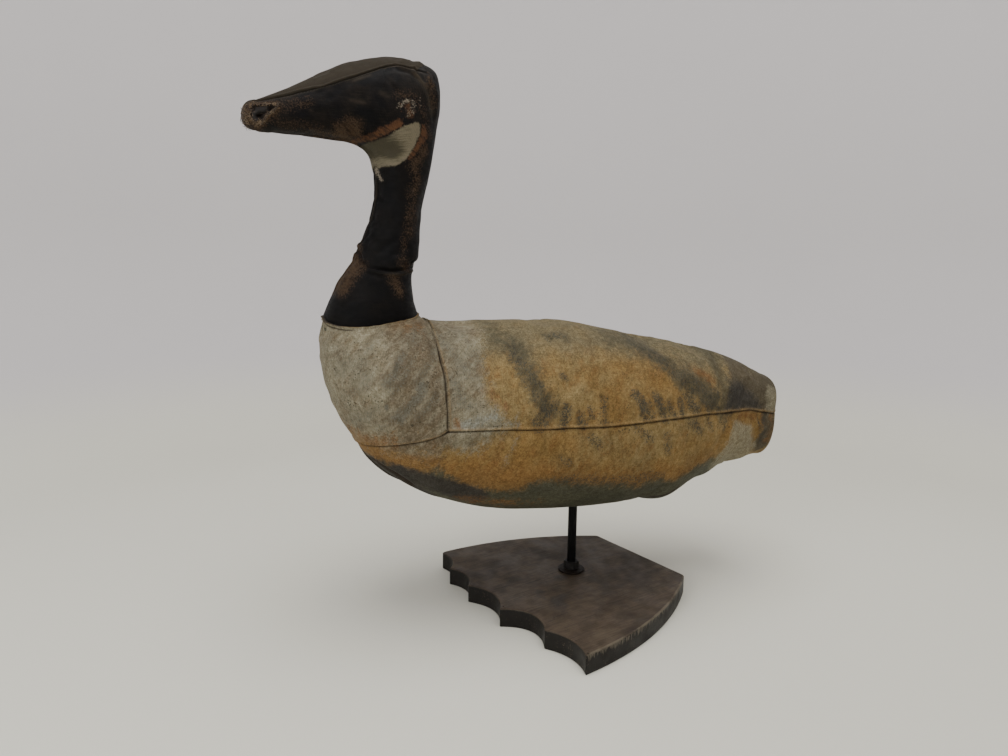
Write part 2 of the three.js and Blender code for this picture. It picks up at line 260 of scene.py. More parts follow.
@dataclass(frozen=True)
class Stroke:
    """A mark along a path in the side view. A path of one point is a dab."""

    path: Path
    width: float
    soft: float
    strength: float = 1.0
    side: Side = Side.LEFT

    def mask(self, place: Array) -> Array:
        """Strength of the mark at each point.

        Args:
            place: Points in millimetres.

        Returns:
            The strength, 0 away from the mark.
        """
        path = self.path if len(self.path) > 1 else (*self.path, *self.path)
        distance = path_distance(place[..., 0], place[..., 2], path)
        shape = 1 - smoothstep(self.width / 2 - self.soft / 2, self.width / 2 + self.soft / 2, distance)
        return self.strength * shape * on_side(place, self.side)

    def softened(self, times: float) -> "Stroke":
        """The same mark with a softer edge."""
        return replace(self, soft=self.soft * times)


@dataclass(frozen=True)
class Patch:
    """A painted area inside an outline in the side view."""

    outline: Path
    soft: float
    strength: float = 1.0
    side: Side = Side.LEFT

    def depth(self, place: Array) -> Array:
        """How far points lie inside the outline, in millimetres, below 0 outside it.

        Args:
            place: Points in millimetres.

        Returns:
            The depth of each point.
        """
        x, z = place[..., 0], place[..., 2]
        distance = path_distance(x, z, (*self.outline, self.outline[0]))
        return np.where(inside(x, z, self.outline), distance, -distance)

    def mask(self, place: Array) -> Array:
        """Strength of the paint at each point."""
        shape = smoothstep(-self.soft / 2, self.soft / 2, self.depth(place))
        return self.strength * shape * on_side(place, self.side)

    def softened(self, times: float) -> "Patch":
        """The same area with a softer edge."""
        return replace(self, soft=self.soft * times)


def strokes(*rows: Sequence[float | Point], side: Side = Side.LEFT) -> tuple[Stroke, ...]:
    """Strokes on one side.

    Args:
        *rows: For each stroke its width, softness and strength, then its points.
        side: The side that they are on.

    Returns:
        The strokes.
    """
    return tuple(Stroke(row[3:], *row[:3], side) for row in rows)


def patch(soft: float, strength: float, side: Side, *corners: Point) -> tuple[Patch]:
    """One patch, from the corners of its outline."""
    return (Patch(corners, soft, strength, side),)


Marks = tuple[Stroke | Patch, ...]


def on_side(place: Array, side: Side) -> Array:
    """1 on the given side of the middle plane and 0 on the other, soft over a few millimetres.

    Args:
        place: Points in millimetres.
        side: The side.

    Returns:
        The share of each point that is on that side.
    """
    if side is Side.BOTH:
        return np.ones(place.shape[:-1])
    return smoothstep(-2.0, 2.0, place[..., 1] * side.value)


def painted(place: Array, marks: Marks, wobble: float, seed: int) -> Array:
    """Joins marks into one mask, with edges that waver.

    Args:
        place: Points on the skin.
        marks: Strokes and patches.
        wobble: How far the edges waver, in millimetres.
        seed: Picks the wavering.

    Returns:
        The mask, from 0 to 1.
    """
    moved = place.copy()
    moved[..., 0] += wobble * noise(place, 9.0, seed, 3)
    moved[..., 2] += wobble * noise(place, 9.0, seed + 50, 3)
    mask = np.zeros(place.shape[:-1])
    for mark in marks:
        mask = np.maximum(mask, mark.mask(moved))
    return mask


# Forms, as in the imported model


@dataclass
class Section:
    """Sections across the goose, from their near to their far point in the middle plane."""

    near: Array
    far: Array
    width: Array
    widest: Array
    squareness: Array

    def points(self, angle: Array) -> Array:
        """Points of the sections at angles from the far point.

        Args:
            angle: Angles from the far point.

        Returns:
            One point for each angle.
        """
        power = 2.0 / self.squareness
        cos, sin = np.cos(angle), np.sin(angle)
        along = np.abs(cos) ** power
        across = np.sign(sin) * np.abs(sin) ** power
        middle = self.near + (self.far - self.near) * self.widest[..., None]
        end = np.where((cos > 0)[..., None], self.far, self.near)
        place = middle + (end - middle) * along[..., None]
        return np.stack([place[..., 0], across * self.width / 2, place[..., 1]], axis=-1)

    def angle_at(self, height: Array) -> Array:
        """Angle from the far point at which each section's left side reaches a height.

        Args:
            height: The height for each section.

        Returns:
            One angle for each section.
        """
        middle = self.near[..., 1] + (self.far[..., 1] - self.near[..., 1]) * self.widest
        end = np.where(height > middle, self.near[..., 1], self.far[..., 1])
        share = np.clip((height - middle) / (end - middle), 0, 1)
        turn = np.arcsin(share ** (self.squareness / 2))
        return np.pi / 2 + np.where(height > middle, turn, -turn)

    def rounded(self, radius: float, forward: float, share: Array) -> "Section":
        """The section drawn in by a quarter round, at shares of that round, along the X axis.

        Args:
            radius: Radius of the round.
            forward: 1 or -1, the way that it goes along X.
            share: Shares of the round, from 0 to 1.

        Returns:
            The drawn-in sections.
        """
        angle = share * np.pi / 2
        inset = radius * (1 - np.cos(angle))
        draw = (inset / np.linalg.norm(self.far - self.near, axis=-1))[..., None]
        shift = np.stack([forward * radius * np.sin(angle), 0 * angle], axis=-1)
        widest = self.widest[..., None]
        return Section(
            self.near + (self.far - self.near) * draw * 2 * widest + shift,
            self.far + (self.near - self.far) * draw * 2 * (1 - widest) + shift,
            self.width - 2 * inset,
            self.widest,
            self.squareness,
        )


@dataclass(frozen=True)
class BodyForm:
    """Shape of the body, from the neck opening at row 0 to the chest seam at 1 and the tail at 2."""

    chest_seam_x: float = -159.0
    back_height: float = 293.5
    length: float = 376.5
    depth: float = 171.0
    width: float = 192.0
    behind: Stations = (0, 0.133, 0.266, 0.372, 0.478, 0.584, 0.664, 0.744, 0.81, 0.876, 0.94, 1)
    back: Stations = (0, -0.004, -0.004, 0, 0.04, 0.088, 0.116, 0.154, 0.19, 0.234, 0.288, 0.36)
    seam: Stations = (0.564, 0.57, 0.573, 0.576, 0.57, 0.558, 0.547, 0.535, 0.529, 0.523, 0.529, 0.544)
    belly: Stations = (1, 1.091, 1.129, 1.146, 1.151, 1.145, 1.155, 1.073, 1.009, 0.942, 0.928, 0.918)
    widths: Stations = (0.917, 0.979, 1, 1, 0.979, 0.927, 0.859, 0.771, 0.682, 0.589, 0.51, 0.443)
    squareness: float = 2.12
    tail_squareness: float = 3.0
    tail_squaring: float = 5.0
    tail_rounding: float = 6.5
    tail_bulge: float = 2.2
    opening_length: float = 96.0
    opening_width: float = 84.0
    opening_rounding: float = 6.0
    opening_dip: float = 7.0
    dip_fading: float = 3.0
    breast_swell: float = 1.64
    shoulder_swell: float = 1.8
    socket_depth: float = 14.0
    hem_radius: float = 1.2
    breast_seam_share: float = 0.655
    breast_sweep: float = 2.2
    side_sweep: float = 0.8
    lean_back: float = 0.42
    side_seam: Path = (
        (-159, 202), (-60, 200.5), (0, 199.5), (60, 201.5), (107, 201.8), (146, 199.8), (179, 198),
        (222, 190),
    )

    def chest(self, share: Array) -> Section:
        """Sections of the chest, which turn about a pivot behind the neck opening.

        Args:
            share: Shares of the turn, from 0 at the opening to 1 at the chest seam.

        Returns:
            The sections.
        """
        angle = share * np.pi / 2
        direction = np.stack([-np.cos(angle), -np.sin(angle)], axis=-1)
        pivot = np.array([self.chest_seam_x, self.back_height + self.opening_rounding])
        reach = self.opening_length + (self.depth - self.opening_length) * share**self.breast_swell
        wide = self.width * self.widths[0]
        grown = 1 - (1 - share) ** self.shoulder_swell
        return Section(
            pivot + direction * self.opening_rounding,
            pivot + direction * (reach + self.opening_rounding)[..., None],
            self.opening_width + (wide - self.opening_width) * grown,
            0.5 + (self.seam[0] - 0.5) * share,
            np.full(share.shape, self.squareness),
        )

    def trunk(self, share: Array) -> Section:
        """Upright sections of the body behind the chest seam.

        Args:
            share: Shares of the way from the chest seam to the tail.

        Returns:
            The sections.
        """
        x = self.chest_seam_x + self.length * catmull(self.behind, share)
        back = self.depth * catmull(self.back, share)
        seam = self.depth * catmull(self.seam, share)
        belly = self.depth * catmull(self.belly, share)
        return Section(
            np.stack([x, self.back_height - back], axis=-1),
            np.stack([x, self.back_height - belly], axis=-1),
            self.width * catmull(self.widths, share),
            (seam - back) / (belly - back),
            self.squareness + (self.tail_squareness - self.squareness) * share**self.tail_squaring,
        )

    def seam_angle(self, share: Array) -> Array:
        """Angle of the side seam at shares of the way from the chest seam to the tail.

        Args:
            share: Shares of that way.

        Returns:
            One angle for each share.
        """
        section = self.trunk(share)
        xs, zs = zip(*self.side_seam)
        return section.angle_at(np.interp(section.near[..., 0], xs, zs))

    def surface(self, rows: Array, columns: Array) -> Array:
        """Points of the skin.

        Args:
            rows: From -2, the socket's floor, over -1 to 0, the hem, 1, the chest seam, and 2 to 3, the tail.
            columns: From -2 to 2: 0 is the belly's middle, 1 the side seam, 2 the back's middle.

        Returns:
            Points in millimetres, one row for each of rows and one column for each of columns.
        """
        w = np.abs(columns)[None, :]
        side = np.where(columns < 0, -1.0, 1.0)[None, :]
        t = np.clip(rows - 1, 0, 1)[:, None]
        seam = self.seam_angle(t)
        angle = side * np.where(w <= 1, w * seam, seam + (w - 1) * (np.pi - seam))
        below = np.minimum(w, 1)
        sweep = below ** (self.breast_sweep + self.side_sweep * below)
        low = self.breast_seam_share + (1 - self.breast_seam_share) * sweep
        ahead = np.clip(rows, 0, 1)[:, None]
        fade = np.clip(1 - t / self.lean_back, 0, 1) ** 2
        g = np.where(rows[:, None] < 1, ahead * low, 1 + t + (low - 1) * fade)
        share = np.clip(g, 0, 1)
        front = self.chest(share).points(angle)
        dip = self.opening_dip * (1 - share) ** self.dip_fading
        front[..., 2] -= dip * (2 * front[..., 1] / self.chest(share).width) ** 2
        points = np.where((g < 1)[..., None], front, self.trunk(np.clip(g - 1, 0, 1)).points(angle))
        self._add_tail(points, rows, angle)
        self._add_hem(points, rows)
        return points

    def _add_tail(self, points: Array, rows: Array, angle: Array) -> None:
        """Rounds the tail's end and closes it with a slightly bulging face.

        Args:
            points: Points of the skin, which are changed.
            rows: Rows of the skin.
            angle: Angles from the far point.
        """
        shape = angle.shape
        end = np.broadcast_to(np.clip((rows - 2) * 2, 0, 1)[:, None], shape)
        last = self.trunk(np.ones(shape)).rounded(self.tail_rounding, 1.0, end)
        cap = np.clip((rows - 2.5) * 2, 0, 1)
        tail = last.points(angle)
        closing = rows > 2.5
        if closing.any():
            ring = tail[closing]
            middle = ring.mean(axis=1, keepdims=True)
            scale = (1 - cap[closing])[:, None, None]
            ring = middle + (ring - middle) * scale
            ring[..., 0] += self.tail_bulge * (1 - scale[..., 0] ** 2)
            tail[closing] = ring
        points[rows > 2] = tail[rows > 2]

    def _add_hem(self, points: Array, rows: Array) -> None:
        """Rolls the neck opening's edge inwards and leads it down into the socket.

        Args:
            points: Points of the skin, which are changed.
            rows: Rows of the skin.
        """
        middle = np.array([self.chest_seam_x - self.opening_rounding - self.opening_length / 2, 0, 0])
        for i in np.nonzero(rows < 0)[0]:
            out = (points[i] - middle) * [1, 1, 0]
            out /= np.linalg.norm(out, axis=1, keepdims=True)
            turn = np.clip(-rows[i], 0, 1) * np.pi
            down = np.clip(-rows[i] - 1, 0, 1) * self.socket_depth
            points[i] += out * (np.cos(turn) - 1) * self.hem_radius
            points[i, :, 2] += np.sin(turn) * self.hem_radius - down


@dataclass(frozen=True)
class HeadForm:
    """Shape of the head and neck, from the neck's foot at row 0 to the bill at 1 and its tip at 2."""

    axis_x: float = -197.0
    turn_deg: float = 12.0
    foot_x: float = -213.0
    foot_height: float = 299.5
    reach: float = 100.0
    height: float = 231.5
    width: float = 67.0
    front: Path = (
        (0.385, 0.054), (0.295, 0.132), (0.18, 0.205), (0.116, 0.259), (0.044, 0.309), (-0.026, 0.391),
        (-0.064, 0.473), (-0.066, 0.546), (-0.034, 0.603), (0.028, 0.637), (0.11, 0.657), (0.22, 0.664),
        (0.39, 0.668), (0.58, 0.673), (0.78, 0.672), (1, 0.674),
    )
    back: Path = (
        (-0.398, 0.054), (-0.382, 0.132), (-0.404, 0.197), (-0.45, 0.235), (-0.458, 0.296), (-0.468, 0.391),
        (-0.498, 0.473), (-0.56, 0.572), (-0.618, 0.702), (-0.668, 0.853), (-0.602, 0.975), (-0.21, 1),
        (0.19, 0.959), (0.48, 0.896), (0.74, 0.829), (0.99, 0.778),
    )
    widths: Stations = (
        1.104, 0.985, 0.881, 0.821, 0.791, 0.776, 0.776, 0.806, 0.881, 0.97, 1, 0.985, 0.896, 0.746, 0.582,
        0.418,
    )
    turns: Stations = (0, 0, 0.15, 0.5, 0.85, 1, 1, 1, 1, 1, 1, 1, 1, 1, 1, 1)
    squareness: float = 2.2
    bill_rounding: float = 10.0
    bill_bulge: float = 0.5
    plug_length: float = 87.6
    plug_width: float = 75.6
    plug_depth: float = 13.7
    plug_squareness: float = 2.12
    gusset: Path = (
        (-330, 473), (-311, 478), (-288, 484), (-268, 490.5), (-240, 501), (-208, 515.5), (-195, 519),
        (-183, 521),
    )
    neck_seam_angle: float = 0.85
    gusset_start: float = 0.7
    gusset_blend: float = 0.06
    gusset_smoothing: int = 5

    def sections(self, share: Array) -> Section:
        """Sections from the neck's foot to the bill.

        Args:
            share: Places along the form, from 0 to 1.

        Returns:
            The sections.
        """
        ends = []
        for path in (self.front, self.back):
            ahead, above = zip(*path)
            x = self.foot_x - self.reach * catmull(ahead, share)
            z = self.foot_height + self.height * catmull(above, share)
            ends.append(np.stack([x, z], axis=-1))
        full = np.ones(share.shape)
        return Section(
            ends[0], ends[1], self.width * catmull(self.widths, share), 0.5 * full, self.squareness * full
        )

    def gusset_angle(self, share: Array) -> Array:
        """Angle from the crown at which the top gusset's seam crosses each section.

        Args:
            share: Places along the form, from 0 to 1.

        Returns:
            One angle for each section.
        """
        xs, zs = zip(*self.gusset)
        order = np.argsort(xs)
        xs, zs = np.asarray(xs)[order], np.asarray(zs)[order]
        section = self.sections(share)
        steps = np.linspace(0.5, 1.0, 201)
        line = section.near[..., None, :] + (section.far - section.near)[..., None, :] * steps[:, None]
        above = line[..., 1] > np.interp(line[..., 0], xs, zs)
        crossing = steps[np.argmax(above, axis=-1)]
        along = np.clip((crossing - 0.5) * 2, 0, 1)
        found = np.arccos(along ** (self.squareness / 2))
        known = above.any(axis=-1) & (share > self.gusset_start)
        found = np.where(known, found, self.neck_seam_angle)
        blend = smoothstep(self.gusset_start, self.gusset_start + self.gusset_blend, share)
        return self.neck_seam_angle + (found - self.neck_seam_angle) * blend

    def surface(self, rows: Array, columns: Array) -> Array:
        """Points of the skin before the head's turn.

        Args:
            rows: From -2, the plug's end, over 0, the neck's foot, and 1, the bill, to 2, its tip.
            columns: From -2 to 2: 0 is the crown's middle, 1 the gusset's seam, 2 the front's middle.

        Returns:
            Points in millimetres, one row for each of rows and one column for each of columns.
        """
        w = np.abs(columns)[None, :]
        side = np.where(columns < 0, -1.0, 1.0)[None, :]
        share = np.clip(rows, 0, 1)[:, None]
        count = self.gusset_smoothing
        seam = np.pad(self.gusset_angle(share[:, 0]), count // 2, mode="edge")
        seam = np.convolve(seam, np.ones(count) / count, mode="valid")[:, None]
        angle = side * np.where(w <= 1, w * seam, seam + (w - 1) * (np.pi - seam))
        share = np.broadcast_to(share, angle.shape)
        points = self.sections(share).points(angle)
        self._add_plug(points, rows, angle)
        self._add_tip(points, rows, angle)
        return points

    def _add_plug(self, points: Array, rows: Array, angle: Array) -> None:
        """Leads the neck's foot down into the body's socket.

        Args:
            points: Points of the skin, which are changed.
            rows: Rows of the skin.
            angle: Angles from the far point.
        """
        for i in np.nonzero(rows < 0)[0]:
            power = 2 / self.plug_squareness
            cos, sin = np.cos(angle[i]), np.sin(angle[i])
            x = self.foot_x + np.sign(cos) * np.abs(cos) ** power * self.plug_length / 2
            y = np.sign(sin) * np.abs(sin) ** power * self.plug_width / 2
            rise = np.clip(rows[i] + 1, 0, 1)
            z = self.foot_height - self.plug_depth * np.clip(-rows[i] - 1, 0, 1)
            plug = np.stack([x, y, np.full(x.shape, z)], axis=-1)
            points[i] = plug + (points[i] - plug) * rise

    def _add_tip(self, points: Array, rows: Array, angle: Array) -> None:
        """Rounds the bill's tip and closes it.

        Args:
            points: Points of the skin, which are changed.
            rows: Rows of the skin.
            angle: Angles from the far point.
        """
        end = np.broadcast_to(np.clip((rows - 1) * 2, 0, 1)[:, None], angle.shape)
        tip = self.sections(np.ones(angle.shape)).rounded(self.bill_rounding, -1.0, end).points(angle)
        for i in np.nonzero(rows > 1.5)[0]:
            scale = 1 - (rows[i] - 1.5) * 2
            middle = tip[i].mean(axis=0)
            tip[i] = middle + (tip[i] - middle) * scale
            tip[i, :, 0] -= self.bill_bulge * (1 - scale**2)
        points[rows > 1] = tip[rows > 1]

    def turned(self, points: Array, rows: Array) -> Array:
        """The points after the head's turn about the neck.

        Args:
            points: Points of the skin.
            rows: Rows of the skin.

        Returns:
            The turned points.
        """
        angle = math.radians(self.turn_deg) * catmull(self.turns, np.clip(rows, 0, 1))[:, None]
        x, y = points[..., 0] - self.axis_x, points[..., 1]
        cos, sin = np.cos(angle), np.sin(angle)
        return np.stack([self.axis_x + x * cos - y * sin, x * sin + y * cos, points[..., 2]], axis=-1)


# Canvas skins


class Skin:
    """A closed canvas skin over rows and columns, where the columns go round."""

    def __init__(self, rows: Array, columns: Array, points: Array) -> None:
        """Takes the grid's parameters and its points in millimetres.

        Args:
            rows: Rows of the skin.
            columns: Columns of the skin.
            points: The grid's points, in millimetres.
        """
        self.rows = rows
        self.columns = columns
        self.points = points
        self.along = self._arc(np.diff(points, axis=0), axis=0)
        round_trip = np.diff(np.concatenate([points, points[:, :1]], axis=1), axis=1)
        self.around = self._arc(round_trip, axis=1)

    @staticmethod
    def _arc(steps: Array, axis: int) -> Array:
        """Running length of the steps along an axis, from 0.

        Args:
            steps: Steps between neighbours.
            axis: 0 along the rows, 1 round the columns.

        Returns:
            The length up to each point.
        """
        length = np.cumsum(np.linalg.norm(steps, axis=-1), axis=axis)
        start = np.zeros_like(np.take(length, [0], axis=axis))
        return np.concatenate([start, length], axis=axis)

    def normals(self) -> Array:
        """Outward unit normals.

        Returns:
            One normal for each point of the grid.
        """
        down = np.gradient(self.points, axis=0)
        across = np.roll(self.points, -1, axis=1) - np.roll(self.points, 1, axis=1)
        normal = np.cross(down, across)
        normal /= np.maximum(np.linalg.norm(normal, axis=-1, keepdims=True), TINY)
        outward = self.points - self.points.mean(axis=1, keepdims=True)
        return normal if (normal * outward).sum() > 0 else -normal

    def raise_by(self, height: Array) -> None:
        """Moves the skin out along its normals, in millimetres."""
        self.points = self.points + self.normals() * height[..., None]

    def column(self, value: float) -> int:
        """Index of the column nearest a value."""
        return int(np.argmin(np.abs(self.columns - value)))

    def row(self, value: float) -> int:
        """Index of the row nearest a value."""
        return int(np.argmin(np.abs(self.rows - value)))

    def past_row(self, value: float) -> Array:
        """Signed distance along the skin from a row, in millimetres."""
        return self.along - self.along[self.row(value)]

    def past_column(self, value: float) -> Array:
        """Signed distance round the skin from a column, in millimetres.

        Args:
            value: Parameter of the column.

        Returns:
            The distance of each point of the grid.
        """
        index = self.column(value)
        length = self.around[:, -1:]
        distance = self.around[:, :-1] - self.around[:, index : index + 1]
        return (distance + length / 2) % length - length / 2

    def mesh(self, name: str, masks: Mapping[str, Array]) -> Piece:
        """Makes the skin a closed mesh.

        Args:
            name: Name of the piece.
            masks: A value at each point, by attribute name.

        Returns:
            The object, with the masks as attributes and a UV map called cloth, in metres.
        """
        count_rows, count = self.points.shape[:2]
        poles = np.stack([self.points[0].mean(axis=0), self.points[-1].mean(axis=0)])
        place = np.concatenate([self.points.reshape(-1, 3), poles]) * MM
        first, last = count_rows * count, count_rows * count + 1
        r, c = np.meshgrid(np.arange(count_rows - 1), np.arange(count), indexing="ij")
        n = (c + 1) % count
        quads = np.stack([r * count + c, r * count + n, (r + 1) * count + n, (r + 1) * count + c], axis=-1)
        ends = [(first, (i + 1) % count, i) for i in range(count)]
        start = (count_rows - 1) * count
        ends += [(last, start + i, start + (i + 1) % count) for i in range(count)]
        faces = quads.reshape(-1, 4).tolist() + ends
        if self._turned_in(place, quads.reshape(-1, 4)):
            faces = [tuple(reversed(face)) for face in faces]
        made = new_piece(name, place, faces)
        for key, value in masks.items():
            values = np.concatenate([value.ravel(), [value[0].mean(), value[-1].mean()]])
            add_mask(made, key, values)
        self._add_cloth(made, count)
        return made

    @staticmethod
    def _turned_in(place: Array, quads: Array) -> bool:
        """Whether the faces point inwards, by the signed volume.

        Args:
            place: Points of the skin.
            quads: Corners of its four-sided faces.

        Returns:
            True if the faces must be turned.
        """
        a, b, c, d = (place[quads[:, corner]] for corner in range(4))
        volume = (a * np.cross(b, c)).sum() + (a * np.cross(c, d)).sum()
        return bool(volume < 0)

    def _add_cloth(self, piece: Piece, count: int) -> None:
        """Adds the UV map, which runs round the skin and along it and doesn't wrap inside a face.

        Args:
            piece: The skin's object.
            count: How many columns the skin has.
        """
        mesh = piece.data
        vertex = np.zeros(len(mesh.loops), int)
        mesh.loops.foreach_get("vertex_index", vertex)
        grid = self.points.shape[0] * count
        on_grid = np.minimum(vertex, grid - 1)
        column = on_grid % count
        around = self.around[:, :-1].reshape(-1)[on_grid]
        along = self.along.reshape(-1)[on_grid]
        totals = np.zeros(len(mesh.polygons), int)
        mesh.polygons.foreach_get("loop_total", totals)
        face = np.repeat(np.arange(len(totals)), totals)
        most = np.zeros(len(totals), int)
        np.maximum.at(most, face, column)
        wraps = (column == 0) & (most[face] == count - 1)
        around = np.where(wraps, self.around[:, -1][on_grid // count], around)
        layer = mesh.uv_layers.new(name="cloth")
        layer.data.foreach_set("uv", (np.stack([around, along], axis=-1) * MM).astype(np.float32).ravel())


def linked(name: str, data: bpy.types.ID) -> Piece:
    """A new object of the scene.

    Args:
        name: Name of the object.
        data: What it shows: a mesh, a light or a camera.

    Returns:
        The object.
    """
    made = bpy.data.objects.new(name, data)
    bpy.context.scene.collection.objects.link(made)
    return made


def new_piece(name: str, place: Array, faces: Sequence[Sequence[int]]) -> Piece:
    """A smooth mesh object in the scene, from points in metres and faces.

    Args:
        name: Name of the piece.
        place: Its points.
        faces: The corners of each face.

    Returns:
        The object.
    """
    mesh = bpy.data.meshes.new(name)
    mesh.from_pydata(place.tolist(), [], faces)
    mesh.polygons.foreach_set("use_smooth", [True] * len(mesh.polygons))
    mesh.update()
    return linked(name, mesh)


def add_mask(piece: Piece, name: str, values: Array) -> None:
    """Stores one number for each vertex under a name."""
    layer = piece.data.attributes.new(name, "FLOAT", "POINT")
    layer.data.foreach_set("value", values.astype(np.float32))


@dataclass(frozen=True)
class Puff:
    """How a cloth simulation fills a skin with stuffing."""

    pressure: float = 4.0
    frames: int = 20
    growth: float = 0.008
    slack: float = 1.6
    cap: float = 4.0
    tension: float = 12.0
    bending: float = 0.4
    quality: int = 6

    def move(self, skin: Skin, pins: Array) -> Array:
        """Blows the skin up between its pinned seams.

        Args:
            skin: A coarse skin, which isn't changed.
            pins: How firmly each point is held, from 0 to 1.

        Returns:
            How far each point moves, in millimetres.
        """
        rest = skin.points
        start = Skin(skin.rows, skin.columns, rest)
        start.raise_by(-self.slack * (1 - pins))
        piece = start.mesh("puffing", {})
        weights = np.concatenate([pins.ravel(), [1.0, 1.0]])
        group = piece.vertex_groups.new(name="pins")
        for index, weight in enumerate(weights):
            group.add([index], float(weight), "REPLACE")
        cloth = piece.modifiers.new("cloth", "CLOTH")
        settings = cloth.settings
        settings.quality = self.quality
        settings.tension_stiffness = self.tension
        settings.compression_stiffness = self.tension
        settings.shear_stiffness = self.tension / 2
        settings.bending_stiffness = self.bending
        settings.use_pressure = True
        settings.uniform_pressure_force = self.pressure
        settings.effector_weights.gravity = 0
        settings.vertex_group_mass = "pins"
        settings.shrink_min = -self.growth
        cloth.collision_settings.use_collision = False
        cloth.point_cache.frame_start = 1
        cloth.point_cache.frame_end = self.frames
        scene = bpy.context.scene
        for number in range(1, self.frames + 1):
            scene.frame_set(number)
        blown = piece.evaluated_get(bpy.context.evaluated_depsgraph_get()).data
        place = np.zeros(len(blown.vertices) * 3)
        blown.vertices.foreach_get("co", place)
        bpy.data.objects.remove(piece)
        scene.frame_set(1)
        moved = place.reshape(-1, 3)[: rest[..., 0].size].reshape(rest.shape) / MM - rest
        length = np.linalg.norm(moved, axis=-1, keepdims=True)
        return moved * np.minimum(1, self.cap / np.maximum(length, TINY))


def spread(move: Array, coarse: Skin, fine: Skin) -> Array:
    """Carries movements from a coarse skin to a fine one.

    Args:
        move: How far each point of the coarse skin moves.
        coarse: The coarse skin.
        fine: The fine skin, which isn't changed.

    Returns:
        How far each point of the fine skin moves.
    """
    by_row = hermite(fine.rows, coarse.rows, move)
    turned = np.moveaxis(by_row, 1, 0)
    wide = np.concatenate([coarse.columns[-3:] - 4, coarse.columns, coarse.columns[:3] + 4])
    padded = np.concatenate([turned[-3:], turned, turned[:3]])
    return np.moveaxis(hermite(fine.columns, wide, padded), 0, 1)


@dataclass(frozen=True)
class Seam:
    """Cross-section of a seam: a groove, a ridge of folded cloth beside it and a wide dip around them."""

    groove: float = 1.2
    groove_width: float = 1.0
    ridge: float = 0.9
    ridge_at: float = 2.6
    ridge_width: float = 1.7
    dip: float = 1.4
    dip_width: float = 10.0

    def height(self, distance: Array) -> Array:
        """Height of the cloth at signed distances from the seam, with the ridge on the positive side.

        Args:
            distance: The distances, in millimetres.

        Returns:
            The height at each distance.
        """
        ridge = self.ridge * bell(distance - self.ridge_at, self.ridge_width)
        groove = self.groove * bell(distance, self.groove_width)
        return ridge - groove - self.dip * bell(distance, self.dip_width)


@dataclass(frozen=True)
class Grid:
    """Rows and columns of a skin. Each span is a start, an end, a count and a pull."""

    rows: Spans
    columns: Spans

    def skin(self, form: BodyForm | HeadForm) -> Skin:
        """A smooth skin of a form.

        Args:
            form: The form.

        Returns:
            The skin, whose last row lies where the last span ends.
        """
        rows = np.concatenate([*(graded(*span) for span in self.rows), [self.rows[-1][1]]])
        columns = np.concatenate([graded(*span) for span in self.columns])
        return Skin(rows, columns, form.surface(rows, columns))


def creased(place: Array, marks: Marks) -> Array:
    """Sum of the marks' heights, in millimetres."""
    return sum((mark.mask(place) for mark in marks), np.zeros(place.shape[:-1]))


# Node trees

Input = Socket | float | Sequence[float] | Material


